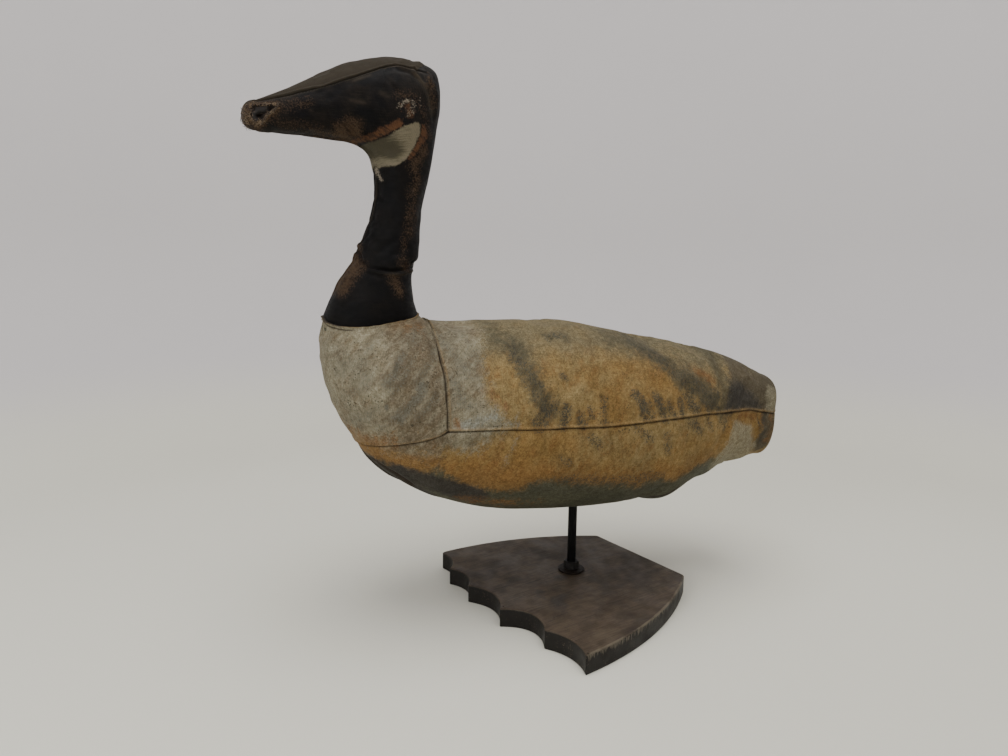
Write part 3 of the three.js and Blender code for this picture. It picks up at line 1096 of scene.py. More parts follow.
class Graph:
    """Builds a shader or geometry node tree in short calls."""

    def __init__(self, tree: bpy.types.NodeTree) -> None:
        """Empties the tree."""
        self.tree = tree
        tree.nodes.clear()

    def node(self, kind: str, inputs: Mapping[int | str, Input], **settings: object) -> bpy.types.Node:
        """Adds a node.

        Args:
            kind: Blender's name of the node's type.
            inputs: Sockets to link or values to set, by the input's name or place.
            **settings: The node's own settings.

        Returns:
            The node.
        """
        made = self.tree.nodes.new(kind)
        for key, value in settings.items():
            setattr(made, key, value)
        for key, value in inputs.items():
            if isinstance(value, Socket):
                self.tree.links.new(value, made.inputs[key])
            else:
                solid = (1.0,) if made.inputs[key].type == "RGBA" else ()
                made.inputs[key].default_value = (*value, *solid) if solid else value
        return made

    def first(self, kind: str, inputs: Mapping[int | str, Input], **settings: object) -> Socket:
        """First output of a new node."""
        return self.node(kind, inputs, **settings).outputs[0]

    def math(self, operation: str, *values: Input, clamp: bool = False) -> Socket:
        """Result of an arithmetic step."""
        return self.first("ShaderNodeMath", dict(enumerate(values)), operation=operation, use_clamp=clamp)

    def times(self, one: Input, other: Input, clamp: bool = False) -> Socket:
        """Product of two values."""
        return self.math("MULTIPLY", one, other, clamp=clamp)

    def plus(self, one: Input, other: Input, clamp: bool = False) -> Socket:
        """Sum of two values."""
        return self.math("ADD", one, other, clamp=clamp)

    def minus(self, one: Input, other: Input) -> Socket:
        """Difference of two values."""
        return self.math("SUBTRACT", one, other)

    def weighed(self, *parts: tuple[Input, float]) -> Socket:
        """Sum of values, each times its weight."""
        return reduce(self.plus, [self.times(value, weight) for value, weight in parts])

    def mix(self, share: Input, under: Input, over: Input, blend: str = "MIX") -> Socket:
        """Mixes two colours."""
        sockets = {0: share, 6: under, 7: over}
        return self.node("ShaderNodeMix", sockets, data_type="RGBA", blend_type=blend).outputs[2]

    def toned(self, colour: Socket, mask: Input, dark: Colour, bright: Colour) -> Socket:
        """The colour times a tone between a dark and a bright one."""
        return self.mix(1.0, colour, self.mix(mask, dark, bright), "MULTIPLY")

    def smooth(self, value: Input, low: Input, high: Input, to: tuple[float, float] = (0.0, 1.0)) -> Socket:
        """Smooth change between two values."""
        sockets = {0: value, 1: low, 2: high, 3: to[0], 4: to[1]}
        return self.first("ShaderNodeMapRange", sockets, interpolation_type="SMOOTHSTEP")

    def noise(self, place: Input, scale: Input, detail: float = 3.0, rough: float = 0.55) -> Socket:
        """Noise from 0 to 1."""
        sockets = {"Vector": place, "Scale": scale, "Detail": detail, "Roughness": rough}
        return self.first("ShaderNodeTexNoise", sockets)

    def streaks(
        self, place: Input, scale: Sequence[float], turn: float, detail: float = 3.0, rough: float = 0.55
    ) -> Socket:
        """Noise from 0 to 1, turned about the Y axis and then stretched."""
        return self.noise(self.mapped(place, scale, (0.0, turn, 0.0)), 1.0, detail, rough)

    def mapped(self, place: Input, scale: Sequence[float], turn: Sequence[float] = (0, 0, 0)) -> Socket:
        """Coordinates turned and then stretched."""
        turned = self.first("ShaderNodeMapping", {"Vector": place, "Rotation": turn})
        return self.first("ShaderNodeMapping", {"Vector": turned, "Scale": scale})

    def mask(self, name: str) -> Socket:
        """A number stored on the mesh."""
        return self.node("ShaderNodeAttribute", {}, attribute_name=name).outputs["Fac"]

    def group(self, name: str, inputs: Mapping[int | str, Input]) -> Sequence[Socket]:
        """Places a shader node group and gives its outputs."""
        return self.node("ShaderNodeGroup", inputs, node_tree=bpy.data.node_groups[name]).outputs

    def shade(
        self, colour: Input, rough: Input, specular: float, relief: Socket | None = None, bump: Point = (0, 0)
    ) -> None:
        """Ends a material with its shader.

        Args:
            colour: Base colour.
            rough: Roughness.
            specular: Strength of the reflection.
            relief: Height of the fine relief, if it has one.
            bump: The relief's strength, and its depth in metres.
        """
        sockets = {"Base Color": colour, "Roughness": rough, "Specular IOR Level": specular}
        if relief is not None:
            heights = {"Height": relief, "Strength": bump[0], "Distance": bump[1]}
            sockets["Normal"] = self.first("ShaderNodeBump", heights)
        self.node("ShaderNodeOutputMaterial", {0: self.first("ShaderNodeBsdfPrincipled", sockets)})


SOCKETS = {"value": "NodeSocketFloat", "vector": "NodeSocketVector", "colour": "NodeSocketColor"}


class Effect(Graph):
    """A shader node group with named inputs and outputs."""

    def __init__(self, name: str, inputs: Mapping[str, str], outputs: Mapping[str, str]) -> None:
        """Makes the group's sockets.

        Args:
            name: Name of the group.
            inputs: Kind of each input: value, vector or colour.
            outputs: Kind of each output.
        """
        super().__init__(bpy.data.node_groups.new(name, "ShaderNodeTree"))
        for way, kinds in (("INPUT", inputs), ("OUTPUT", outputs)):
            for key, kind in kinds.items():
                self.tree.interface.new_socket(name=key, in_out=way, socket_type=SOCKETS[kind])
        self.given = self.tree.nodes.new("NodeGroupInput").outputs
        self.result = self.tree.nodes.new("NodeGroupOutput")

    def put(self, name: str, value: Socket) -> None:
        """Leads a socket to an output."""
        self.tree.links.new(value, self.result.inputs[name])


def make_weave() -> None:
    """Plain weave of uneven threads, which follows the cloth's own coordinates."""
    e = Effect("weave", {"Cloth": "vector", "Pitch": "value"}, {"Height": "value", "Slub": "value"})
    given = e.given["Cloth"]
    stray = e.node("ShaderNodeTexNoise", {"Vector": given, "Scale": 160.0, "Detail": 2.0}).outputs[1]
    moved = e.first("ShaderNodeVectorMath", {0: stray, 1: (0.0024, 0.0024, 0.0)}, operation="MULTIPLY")
    cloth = e.first("ShaderNodeVectorMath", {0: given, 1: moved}, operation="ADD")
    split = e.node("ShaderNodeSeparateXYZ", {0: cloth}).outputs
    turns = [e.times(e.math("DIVIDE", split[axis], e.given["Pitch"]), math.pi) for axis in (0, 1)]
    cross = e.times(*[e.math("COSINE", turn) for turn in turns])
    ribs = e.plus(*[e.math("COSINE", e.times(turn, 2.0)) for turn in turns])
    e.put("Height", e.plus(e.weighed((cross, 0.3), (ribs, 0.12)), 0.5, clamp=True))
    slubs = [e.streaks(given, scale, 0.0, 2.0) for scale in ((700.0, 60.0, 1.0), (60.0, 700.0, 1.0))]
    e.put("Slub", e.times(e.plus(*slubs), 0.5))


def make_coat() -> None:
    """One coat of paint over what lies under it, with an edge broken by the cloth's grain."""
    kinds = {"Under": "colour", "Over": "colour"}
    kinds |= dict.fromkeys(("Mask", "Grain", "Ragged", "Limit"), "value")
    e = Effect("coat", kinds, {"Colour": "colour"})
    rough = e.times(e.minus(e.given["Grain"], 0.5), e.given["Ragged"])
    inked = e.smooth(e.plus(e.given["Mask"], rough), 0.2, 0.8)
    gate = e.times(e.given["Mask"], 8.0, clamp=True)
    cover = e.times(e.times(inked, gate), e.given["Limit"])
    e.put("Colour", e.mix(cover, e.given["Under"], e.given["Over"]))


def make_speckle() -> None:
    """Small dark specks and pits where paint has flaked off."""
    e = Effect("speckle", {"Place": "vector", "Size": "value", "Amount": "value"}, {"Mask": "value"})
    scale = e.math("DIVIDE", 1.0, e.given["Size"])
    fine = e.noise(e.given["Place"], scale, 2.0, 0.6)
    field = e.noise(e.given["Place"], e.times(scale, 0.12), 2.0)
    level = e.minus(0.82, e.times(e.given["Amount"], e.times(field, 0.62)))
    e.put("Mask", e.smooth(fine, level, e.plus(level, 0.05)))


def make_mottle() -> None:
    """Uneven tone: the colour drifts towards a second one in patches."""
    kinds = {"Colour": "colour", "Other": "colour", "Place": "vector", "Size": "value", "Sharp": "value"}
    e = Effect("mottle", kinds, {"Colour": "colour", "Mask": "value"})
    field = e.noise(e.given["Place"], e.math("DIVIDE", 1.0, e.given["Size"]), 4.0, 0.6)
    half = e.times(e.minus(1.0, e.given["Sharp"]), 0.22)
    mask = e.smooth(field, e.minus(0.5, half), e.plus(0.5, half))
    e.put("Colour", e.mix(mask, e.given["Colour"], e.given["Other"]))
    e.put("Mask", mask)


def new_material(name: str) -> tuple[Material, Graph, Socket]:
    """A new material.

    Args:
        name: Name of the material.

    Returns:
        The material, the builder of its tree and the piece's own coordinates.
    """
    made = bpy.data.materials.new(name)
    made.use_nodes = True
    g = Graph(made.node_tree)
    return made, g, g.node("ShaderNodeTexCoord", {}).outputs["Object"]


# Finishes


class Edge(Enum):
    """How a coat of paint breaks up: in brushed streaks or in small peppered specks."""

    BRUSHED = "brushed"
    PEPPERED = "peppered"


@dataclass(frozen=True)
class Coat:
    """A coat of paint: the mask it follows, its colour, how broken it is and how thickly it covers."""

    mask: str
    colour: Colour
    ragged: float
    cover: float = 1.0
    edge: Edge = Edge.BRUSHED


@dataclass(frozen=True)
class Ground:
    """Weave and brush marks of a painted canvas, which break up the coats of paint."""

    thread_pitch: float
    brush_scale: tuple[float, float, float]
    brush_turn: float
    dry_scale: float
    shares: tuple[float, float, float]
    level: float
    pepper_scale: float
    pepper: tuple[float, float]

    def build(self, g: Graph, place: Socket) -> tuple[Sequence[Socket], Socket, dict[Edge, Socket]]:
        """Builds the ground.

        Args:
            g: The material's tree.
            place: The piece's own coordinates.

        Returns:
            The weave's outputs, the brush marks and the grain for each kind of edge.
        """
        cloth = g.first("ShaderNodeUVMap", {}, uv_map="cloth")
        weave = g.group("weave", {"Cloth": cloth, "Pitch": self.thread_pitch})
        brush = g.streaks(place, self.brush_scale, self.brush_turn, 5.0, 0.68)
        dry = g.noise(place, self.dry_scale, 2.0, 0.6)
        grain = g.minus(g.weighed(*zip((brush, dry, weave["Height"]), self.shares)), self.level)
        specks = g.times(g.noise(place, self.pepper_scale, 3.0, 0.8), self.pepper[0])
        pepper = g.plus(g.minus(specks, self.pepper[1]), g.times(brush, 0.35))
        return weave, brush, {Edge.BRUSHED: grain, Edge.PEPPERED: pepper}


def lay_coats(
    g: Graph, colour: Socket, coats: Iterable[Coat], grains: Mapping[Edge, Socket],
    special: Mapping[str, Socket],
) -> Socket:
    """Lays coats of paint, one over the other.

    Args:
        g: The material's tree.
        colour: What lies under them.
        coats: The coats, the lowest first.
        grains: Grain for each kind of edge.
        special: Colours of the coats that aren't plain, by the mask's name.

    Returns:
        The colour on top.
    """
    for coat in coats:
        sockets = {
            "Under": colour, "Over": special.get(coat.mask, coat.colour), "Mask": g.mask(coat.mask),
            "Grain": grains[coat.edge], "Ragged": coat.ragged, "Limit": coat.cover,
        }
        colour = g.group("coat", sockets)[0]
    return colour


@dataclass(frozen=True)
class PaintedCanvas:
    """Matt paint on the body's canvas, coat over coat."""

    name: str = "painted_canvas"
    ochre: Colour = (0.212, 0.158, 0.072)
    tan: Colour = (0.190, 0.118, 0.041)
    drab: Colour = (0.150, 0.124, 0.070)
    russet: Colour = (0.180, 0.098, 0.034)
    chalk: Colour = (0.220, 0.202, 0.144)
    sand: Colour = (0.128, 0.102, 0.066)
    fleck: Colour = (0.050, 0.043, 0.029)
    rubbed: Colour = (0.250, 0.165, 0.075)
    dirt_and_shade: Colour = (0.022, 0.015, 0.009)
    ground: Ground = Ground(
        thread_pitch=0.00088, brush_scale=(150.0, 150.0, 60.0), brush_turn=-0.5, dry_scale=560.0,
        shares=(1.0, 0.6, 0.1), level=0.35, pepper_scale=640.0, pepper=(1.9, 0.62),
    )
    coats: tuple[Coat, ...] = (
        Coat("umber", (0.178, 0.098, 0.034), 1.1, 0.85),
        Coat("olive", (0.072, 0.067, 0.043), 1.2, 0.78),
        Coat("breast", (0.22, 0.19, 0.14), 1.3),
        Coat("tea", (0.138, 0.098, 0.056), 1.3, 0.7),
        Coat("smoke", (0.096, 0.094, 0.074), 1.7, 0.85, Edge.PEPPERED),
        Coat("blue", (0.185, 0.190, 0.165), 1.4, 0.85),
        Coat("belly", (0.062, 0.066, 0.047), 1.2, 0.95),
        Coat("tail", (0.078, 0.067, 0.046), 1.2, 0.95),
        Coat("soot", (0.036, 0.033, 0.029), 1.0, 0.95),
        Coat("ink", (0.041, 0.040, 0.032), 2.6, 0.92, Edge.PEPPERED),
        Coat("pale", (0.215, 0.198, 0.138), 1.5, 0.85),
        Coat("rust", (0.165, 0.082, 0.030), 1.6, 0.75),
    )

    def material(self) -> Material:
        """Builds the material.

        Returns:
            The material.
        """
        made, g, place = new_material(self.name)
        weave, brush, grains = self.ground.build(g, place)
        sockets = {"Colour": self.ochre, "Other": self.tan, "Place": place, "Size": 0.05, "Sharp": 0.1}
        reddish = g.smooth(g.streaks(place, (120.0, 90.0, 70.0), -0.3, 5.0, 0.7), 0.46, 0.68, (0.0, 0.6))
        colour = g.mix(reddish, g.group("mottle", sockets)[0], self.russet)
        high = g.times(g.mask("top"), g.plus(g.noise(place, 45.0, 4.0, 0.6), 0.2))
        colour = g.mix(g.smooth(high, 0.12, 0.75), colour, self.drab)
        light = g.times(g.minus(g.mask("lit"), 0.4), 0.2)
        chalky = g.smooth(g.plus(g.streaks(place, (130.0, 60.0, 32.0), -0.85, 6.0, 0.72), light), 0.32, 0.66)
        breast = g.mix(chalky, self.sand, self.chalk)
        colour = lay_coats(g, colour, self.coats, grains, {"breast": breast})
        colour = g.mix(g.times(g.mask("seam_ridge"), 0.9), colour, g.mix(0.62, colour, self.rubbed))
        # Dark seam lines: dirt in the seams, with painted shade in the rim's lip gap, the slits and the small
        # hole.
        colour = g.mix(g.times(g.mask("seam_line"), 0.93), colour, self.dirt_and_shade)
        flaked = g.group("speckle", {"Place": place, "Size": 0.0022, "Amount": g.mask("flaky")})[0]
        colour = g.mix(g.times(flaked, 0.8), colour, self.fleck)
        pits = g.smooth(g.plus(g.times(weave["Height"], 0.5), weave["Slub"]), 0.5, 1.0)
        fine = g.smooth(g.noise(place, 640.0, 3.0, 0.75), 0.34, 0.66)
        grainy = g.smooth(g.streaks(place, (260.0, 260.0, 190.0), 0.0, 3.0, 0.7), 0.34, 0.66)
        clouds = g.smooth(g.noise(place, 30.0, 4.0, 0.6), 0.3, 0.7)
        colour = g.toned(colour, pits, (0.80, 0.78, 0.76), (1.14, 1.14, 1.12))
        colour = g.toned(colour, fine, (0.76, 0.75, 0.73), (1.19, 1.2, 1.2))
        colour = g.toned(colour, grainy, (0.82, 0.80, 0.77), (1.16, 1.17, 1.2))
        colour = g.toned(colour, clouds, (0.86, 0.87, 0.88), (1.1, 1.09, 1.06))
        relief = g.weighed((weave["Height"], 0.5), (brush, 0.8), (flaked, -0.5))
        g.shade(colour, g.smooth(brush, 0.2, 0.8, (0.72, 0.92)), 0.15, relief, (0.42, 0.0006))
        return made


@dataclass(frozen=True)
class BlackCanvas:
    """Worn, slightly waxy black-brown paint on the head's canvas."""

    name: str = "black_canvas"
    black: Colour = (0.0020, 0.0022, 0.0031)
    soot: Colour = (0.0066, 0.0053, 0.0043)
    worn: Colour = (0.030, 0.0200, 0.0125)
    cheek: Colour = (0.150, 0.131, 0.086)
    cheek_shade: Colour = (0.044, 0.039, 0.024)
    brown: Colour = (0.070, 0.044, 0.0250)
    rust: Colour = (0.092, 0.042, 0.0185)
    streak: Colour = (0.024, 0.0145, 0.0090)
    # Rubbed seam ridges; also the colour of the painted highlights on fold ridges.
    rubbed: Colour = (0.042, 0.032, 0.021)
    dirt_and_shade: Colour = (0.003, 0.0026, 0.0025)
    fleck: Colour = (0.055, 0.042, 0.028)
    neck_dimming: float = 0.68
    ground: Ground = Ground(
        thread_pitch=0.0008, brush_scale=(120.0, 120.0, 230.0), brush_turn=0.0, dry_scale=640.0,
        shares=(0.9, 0.75, 0.15), level=0.4, pepper_scale=760.0, pepper=(2.0, 0.66),
    )
    coats: tuple[Coat, ...] = (
        Coat("olive", (0.0295, 0.0240, 0.0165), 0.9),
        Coat("brown", brown, 2.2, 0.76, Edge.PEPPERED),
        Coat("rust", rust, 1.4, 0.9),
        Coat("cheek", cheek, 1.0),
        Coat("white", (0.215, 0.185, 0.140), 1.8, 0.9, Edge.PEPPERED),
        Coat("raw", (0.168, 0.116, 0.070), 2.8, 0.85, Edge.PEPPERED),
        Coat("hollow", (0.0160, 0.0125, 0.0100), 0.3),
        # The last coat is a painted highlight on the rounded form inside the tear.
        Coat("crescent", (0.036, 0.033, 0.032), 0.9),
    )

    def material(self) -> Material:
        """Builds the material.

        Returns:
            The material.
        """
        made, g, place = new_material(self.name)
        weave, brush, grains = self.ground.build(g, place)
        sockets = {"Colour": self.black, "Other": self.soot, "Place": place, "Size": 0.02, "Sharp": 0.35}
        rubbed = g.smooth(g.times(g.mask("wear"), g.plus(grains[Edge.BRUSHED], 0.5)), 0.3, 0.85)
        colour = g.mix(rubbed, g.group("mottle", sockets)[0], self.worn)
        high = g.smooth(g.plus(weave["Height"], g.times(weave["Slub"], 0.7)), 0.5, 1.1)
        worked = g.smooth(g.streaks(place, (240.0, 240.0, 90.0), 0.5, 4.0, 0.7), 0.32, 0.68)
        threads = g.smooth(g.streaks(place, (90.0, 90.0, 1100.0), 0.0, 3.0, 0.6), 0.35, 0.65)
        colour = g.toned(colour, high, (0.58, 0.59, 0.62), (1.5, 1.44, 1.36))
        colour = g.toned(colour, worked, (0.66, 0.68, 0.74), (1.42, 1.36, 1.26))
        colour = g.toned(colour, threads, (0.70, 0.70, 0.72), (1.3, 1.28, 1.24))
        dim = g.minus(1.0, g.times(g.mask("neck"), self.neck_dimming))
        grey = g.first("ShaderNodeCombineColor", dict.fromkeys(range(3), dim))
        colour = g.mix(1.0, colour, grey, "MULTIPLY")
        lines = g.times(g.minus(g.streaks(place, (110.0, 110.0, 1000.0), 0.1, 5.0, 0.7), 0.5), 1.5)
        lit = g.smooth(g.plus(g.mask("cheek_light"), lines), 0.1, 0.9)
        special = {"cheek": g.mix(lit, self.cheek_shade, self.cheek)}
        streaks = g.smooth(g.streaks(place, (480.0, 200.0, 90.0), 0.9, 4.0, 0.7), 0.32, 0.58)
        special |= {name: g.mix(streaks, self.streak, getattr(self, name)) for name in ("brown", "rust")}
        colour = lay_coats(g, colour, self.coats, grains, special)
        # Rubbed seam ridges, and painted highlights on the head's fold ridges.
        colour = g.mix(g.times(g.mask("seam_ridge"), 0.6), colour, self.rubbed)
        # Dark seam lines: dirt in the seams, with a painted shadow in the crease of the fold at the neck's
        # foot.
        colour = g.mix(g.times(g.mask("seam_line"), 0.85), colour, self.dirt_and_shade)
        colour = g.toned(colour, high, (0.82, 0.82, 0.83), (1.17, 1.16, 1.14))
        fleck = g.group("speckle", {"Place": place, "Size": 0.0016, "Amount": g.mask("flaky")})[0]
        colour = g.mix(g.times(fleck, 0.6), colour, self.fleck)
        dull = g.math("MAXIMUM", g.mask("wear"), g.math("MAXIMUM", g.mask("brown"), g.mask("olive")))
        rough = g.plus(g.smooth(brush, 0.25, 0.75, (0.46, 0.66)), g.times(dull, 0.25))
        g.shade(colour, rough, 0.12, g.weighed((weave["Height"], 0.55), (brush, 0.9)), (0.45, 0.0006))
        return made


@dataclass(frozen=True)
class StainedWood:
    """Dark stain on the board, mottled, with rubbed edges."""

    name: str = "stained_wood"
    dark: Colour = (0.040, 0.028, 0.0195)
    light: Colour = (0.080, 0.060, 0.040)
    rubbed: Colour = (0.125, 0.104, 0.074)
    smudge: Colour = (0.026, 0.020, 0.016)
    blot: Colour = (0.024, 0.020, 0.018)
    speck: Colour = (0.10, 0.08, 0.055)
    blots: tuple[tuple[float, float, float], ...] = (
        (-0.042, -0.064, 0.017), (-0.052, -0.044, 0.012), (-0.072, -0.006, 0.010), (-0.020, -0.020, 0.012),
    )
    black: Colour = (0.0065, 0.0055, 0.0048)
    top: float = 0.019
    grain_turn: float = math.radians(17.2)

    def material(self) -> Material:
        """Builds the material.

        Returns:
            The material.
        """
        made, g, place = new_material(self.name)
        turned = (0.0, 0.0, -self.grain_turn)
        lines = g.noise(g.mapped(place, (28.0, 620.0, 620.0), turned), 1.0, 5.0, 0.6)
        rings = g.noise(g.mapped(place, (9.0, 95.0, 95.0), turned), 1.0, 4.0, 0.55)
        sockets = {"Colour": self.dark, "Other": self.light, "Place": place, "Size": 0.016, "Sharp": 0.0}
        tone = g.group("mottle", sockets)
        colour = g.mix(g.smooth(rings, 0.35, 0.7, (0.0, 0.45)), tone[0], self.light)
        colour = g.mix(g.smooth(lines, 0.52, 0.75, (0.0, 0.75)), colour, self.black)
        colour = g.mix(g.smooth(g.noise(place, 22.0, 3.0, 0.6), 0.5, 0.66, (0.0, 0.55)), colour, self.smudge)
        fibres = g.smooth(g.noise(g.mapped(place, (60.0, 900.0, 900.0), turned), 1.0, 3.0, 0.6), 0.3, 0.7)
        colour = g.toned(colour, fibres, (0.80, 0.79, 0.78), (1.2, 1.2, 1.19))
        for x, y, size in self.blots:
            ends = {0: place, 1: (x, y, self.top)}
            away = g.node("ShaderNodeVectorMath", ends, operation="DISTANCE").outputs[1]
            stray = g.times(g.minus(g.noise(place, 70.0, 4.0, 0.6), 0.5), size * 3.0)
            colour = g.mix(g.smooth(g.plus(away, stray), size, 0.3 * size, (0.0, 0.6)), colour, self.blot)
        colour = g.mix(g.times(g.mask("wall"), 0.97), colour, self.black)
        upright = g.streaks(place, (420.0, 420.0, 60.0), 0.0, 4.0, 0.7)
        patchy = g.times(g.mask("edge"), g.noise(place, 60.0, 5.0, 0.7))
        scuffed = g.smooth(g.times(g.mask("scuff"), upright), 0.36, 0.5, (0.0, 0.75))
        colour = g.mix(scuffed, colour, self.rubbed)
        colour = g.mix(g.smooth(patchy, 0.34, 0.56, (0.0, 0.8)), colour, self.rubbed)
        specks = g.group("speckle", {"Place": place, "Size": 0.0015, "Amount": 0.55})[0]
        colour = g.mix(g.times(specks, 0.5), colour, self.speck)
        rough = g.smooth(g.noise(place, 35.0, 4.0, 0.6), 0.3, 0.7, (0.45, 0.68))
        g.shade(colour, rough, 0.25, g.weighed((lines, 0.7), (tone[1], 0.15)), (0.25, 0.0005))
        return made


@dataclass(frozen=True)
class BlackSteel:
    """Black painted steel with a satin surface, a little dusty."""

    name: str
    colour: Colour
    dust: Colour
    gloss: tuple[float, float] = (0.35, 0.55)

    def material(self) -> Material:
        """Builds the material.

        Returns:
            The material.
        """
        made, g, place = new_material(self.name)
        field = g.noise(place, 260.0, 4.0, 0.6)
        colour = g.mix(g.smooth(field, 0.45, 0.75, (0.0, 0.7)), self.colour, self.dust)
        specks = g.group("speckle", {"Place": place, "Size": 0.0011, "Amount": 0.6})[0]
        colour = g.mix(g.times(specks, 0.6), colour, self.dust)
        g.shade(colour, g.smooth(field, 0.3, 0.7, self.gloss), 0.12, field, (0.2, 0.0003))
        return made


@dataclass(frozen=True)
class BareThread:
    """Bare frayed thread."""

    name: str
    colour: Colour
    dark: Colour

    def material(self) -> Material:
        """Builds the material.

        Returns:
            The material.
        """
        made, g, place = new_material(self.name)
        field = g.noise(place, 420.0, 3.0, 0.7)
        clumps = g.noise(place, 150.0, 2.0, 0.6)
        colour = g.mix(g.smooth(g.plus(field, clumps), 0.88, 1.22), self.dark, self.colour)
        g.shade(colour, g.smooth(field, 0.3, 0.7, (0.7, 0.9)), 0.5, field, (0.3, 0.0002))
        return made


@dataclass(frozen=True)
class StudioPaper:
    """Pale matt backdrop: cream on the floor, cool grey on the wall."""

    name: str = "studio_paper"
    floor: Colour = (0.74, 0.735, 0.65)
    wall: Colour = (0.66, 0.645, 0.655)

    def material(self) -> Material:
        """Builds the material.

        Returns:
            The material.
        """
        made, g, place = new_material(self.name)
        height = g.node("ShaderNodeSeparateXYZ", {0: place}).outputs[2]
        colour = g.mix(g.smooth(height, 0.002, 0.16), self.floor, self.wall)
        colour = g.toned(colour, g.noise(place, 3.0, 2.0), (0.985, 0.985, 0.985), (1.015, 1.015, 1.015))
        g.shade(colour, 0.85, 0.2)
        return made


# What repeats: stitches and frayed threads


class Growth(Graph):
    """A geometry node tree with named sizes, grown on chains of edges."""

    def __init__(self, name: str, sizes: Mapping[str, float]) -> None:
        """Makes the tree's sockets.

        Args:
            name: Name of the tree.
            sizes: Named inputs with their default values.
        """
        super().__init__(bpy.data.node_groups.new(name, "GeometryNodeTree"))
        face = self.tree.interface
        face.new_socket(name="Chain", in_out="INPUT", socket_type="NodeSocketGeometry")
        for key, value in sizes.items():
            face.new_socket(name=key, in_out="INPUT", socket_type="NodeSocketFloat").default_value = value
        face.new_socket(name="Material", in_out="INPUT", socket_type="NodeSocketMaterial")
        face.new_socket(name="Geometry", in_out="OUTPUT", socket_type="NodeSocketGeometry")
        self.given = self.tree.nodes.new("NodeGroupInput").outputs

    def finish(self, geometry: Socket) -> None:
        """Realizes the instances, gives them their material and leads them to the output.

        Args:
            geometry: What the tree has grown.
        """
        real = self.first("GeometryNodeRealizeInstances", {0: geometry})
        smooth = self.first("GeometryNodeSetShadeSmooth", {0: real})
        dressed = self.first("GeometryNodeSetMaterial", {0: smooth, "Material": self.given["Material"]})
        self.node("NodeGroupOutput", {0: dressed})

    def grow(self, name: str, chain: Mesh, material: Material, **sizes: float) -> Piece:
        """Grows a piece on a chain.

        Args:
            name: Name of the piece.
            chain: Mesh of edge chains, with its attributes.
            material: The piece's finish.
            **sizes: Values of the named inputs.

        Returns:
            The piece as a plain mesh object.
        """
        piece = linked(name, chain)
        modifier = piece.modifiers.new("grow", "NODES")
        modifier.node_group = self.tree
        values = sizes | {"Material": material}
        for item in self.tree.interface.items_tree:
            if item.name in values:
                modifier[item.identifier] = values[item.name]
        graph = bpy.context.evaluated_depsgraph_get()
        grown = bpy.data.meshes.new_from_object(
            piece.evaluated_get(graph), preserve_all_data_layers=True, depsgraph=graph
        )
        piece.modifiers.remove(modifier)
        piece.data = grown
        bpy.data.meshes.remove(chain)
        if not grown.materials:
            grown.materials.append(material)
        return piece


def stitch_tree() -> Growth:
    """Stitches at an even pitch, slanted across the seam and lying on the cloth.

    Returns:
        The tree.
    """
    g = Growth("stitches", {"Pitch": 0.003, "Length": 0.0024, "Radius": 0.00035, "Slant": 0.5})
    given = g.given
    curve = g.first("GeometryNodeMeshToCurve", {0: given["Chain"]})
    spaced = g.first("GeometryNodeResampleCurve", {"Curve": curve, "Length": given["Pitch"]}, mode="LENGTH")
    outward = g.first("GeometryNodeInputNamedAttribute", {"Name": "outward"}, data_type="FLOAT_VECTOR")
    tangent = g.first("GeometryNodeInputTangent", {})
    upright = g.first("FunctionNodeAlignRotationToVector", {"Vector": outward}, axis="Z")
    facing = {"Rotation": upright, "Vector": tangent}
    along = g.first("FunctionNodeAlignRotationToVector", facing, axis="X", pivot_axis="Z")
    chance = g.node("FunctionNodeRandomValue", {2: -0.22, 3: 0.22, "Seed": 11}, data_type="FLOAT").outputs[1]
    angle = g.plus(given["Slant"], chance)
    lean = g.first("FunctionNodeAxisAngleToRotation", {"Axis": (0.0, 0.0, 1.0), "Angle": angle})
    turning = {"Rotation": along, "Rotate By": lean}
    turned = g.first("FunctionNodeRotateRotation", turning, rotation_space="LOCAL")
    grain = g.first("GeometryNodeMeshUVSphere", {"Segments": 6, "Rings": 5, "Radius": 1.0})
    half = g.times(given["Length"], 0.5)
    size = g.first("ShaderNodeCombineXYZ", {0: half, 1: given["Radius"], 2: given["Radius"]})
    shaped = g.first("GeometryNodeTransform", {"Geometry": grain, "Scale": size})
    uneven = g.node("FunctionNodeRandomValue", {2: 0.75, 3: 1.15, "Seed": 5}, data_type="FLOAT").outputs[1]
    placing = {"Points": spaced, "Instance": shaped, "Rotation": turned, "Scale": uneven}
    g.finish(g.first("GeometryNodeInstanceOnPoints", placing))
    return g


def thread_tree() -> Growth:
    """Thin threads along chains of edges.

    Returns:
        The tree.
    """
    g = Growth("threads", {"Radius": 0.00022})
    curve = g.first("GeometryNodeMeshToCurve", {0: g.given["Chain"]})
    smooth = g.first("GeometryNodeResampleCurve", {"Curve": curve, "Count": 9}, mode="COUNT")
    ring = g.first("GeometryNodeCurvePrimitiveCircle", {"Resolution": 5, "Radius": g.given["Radius"]})
    g.finish(g.first("GeometryNodeCurveToMesh", {"Curve": smooth, "Profile Curve": ring, "Fill Caps": True}))
    return g


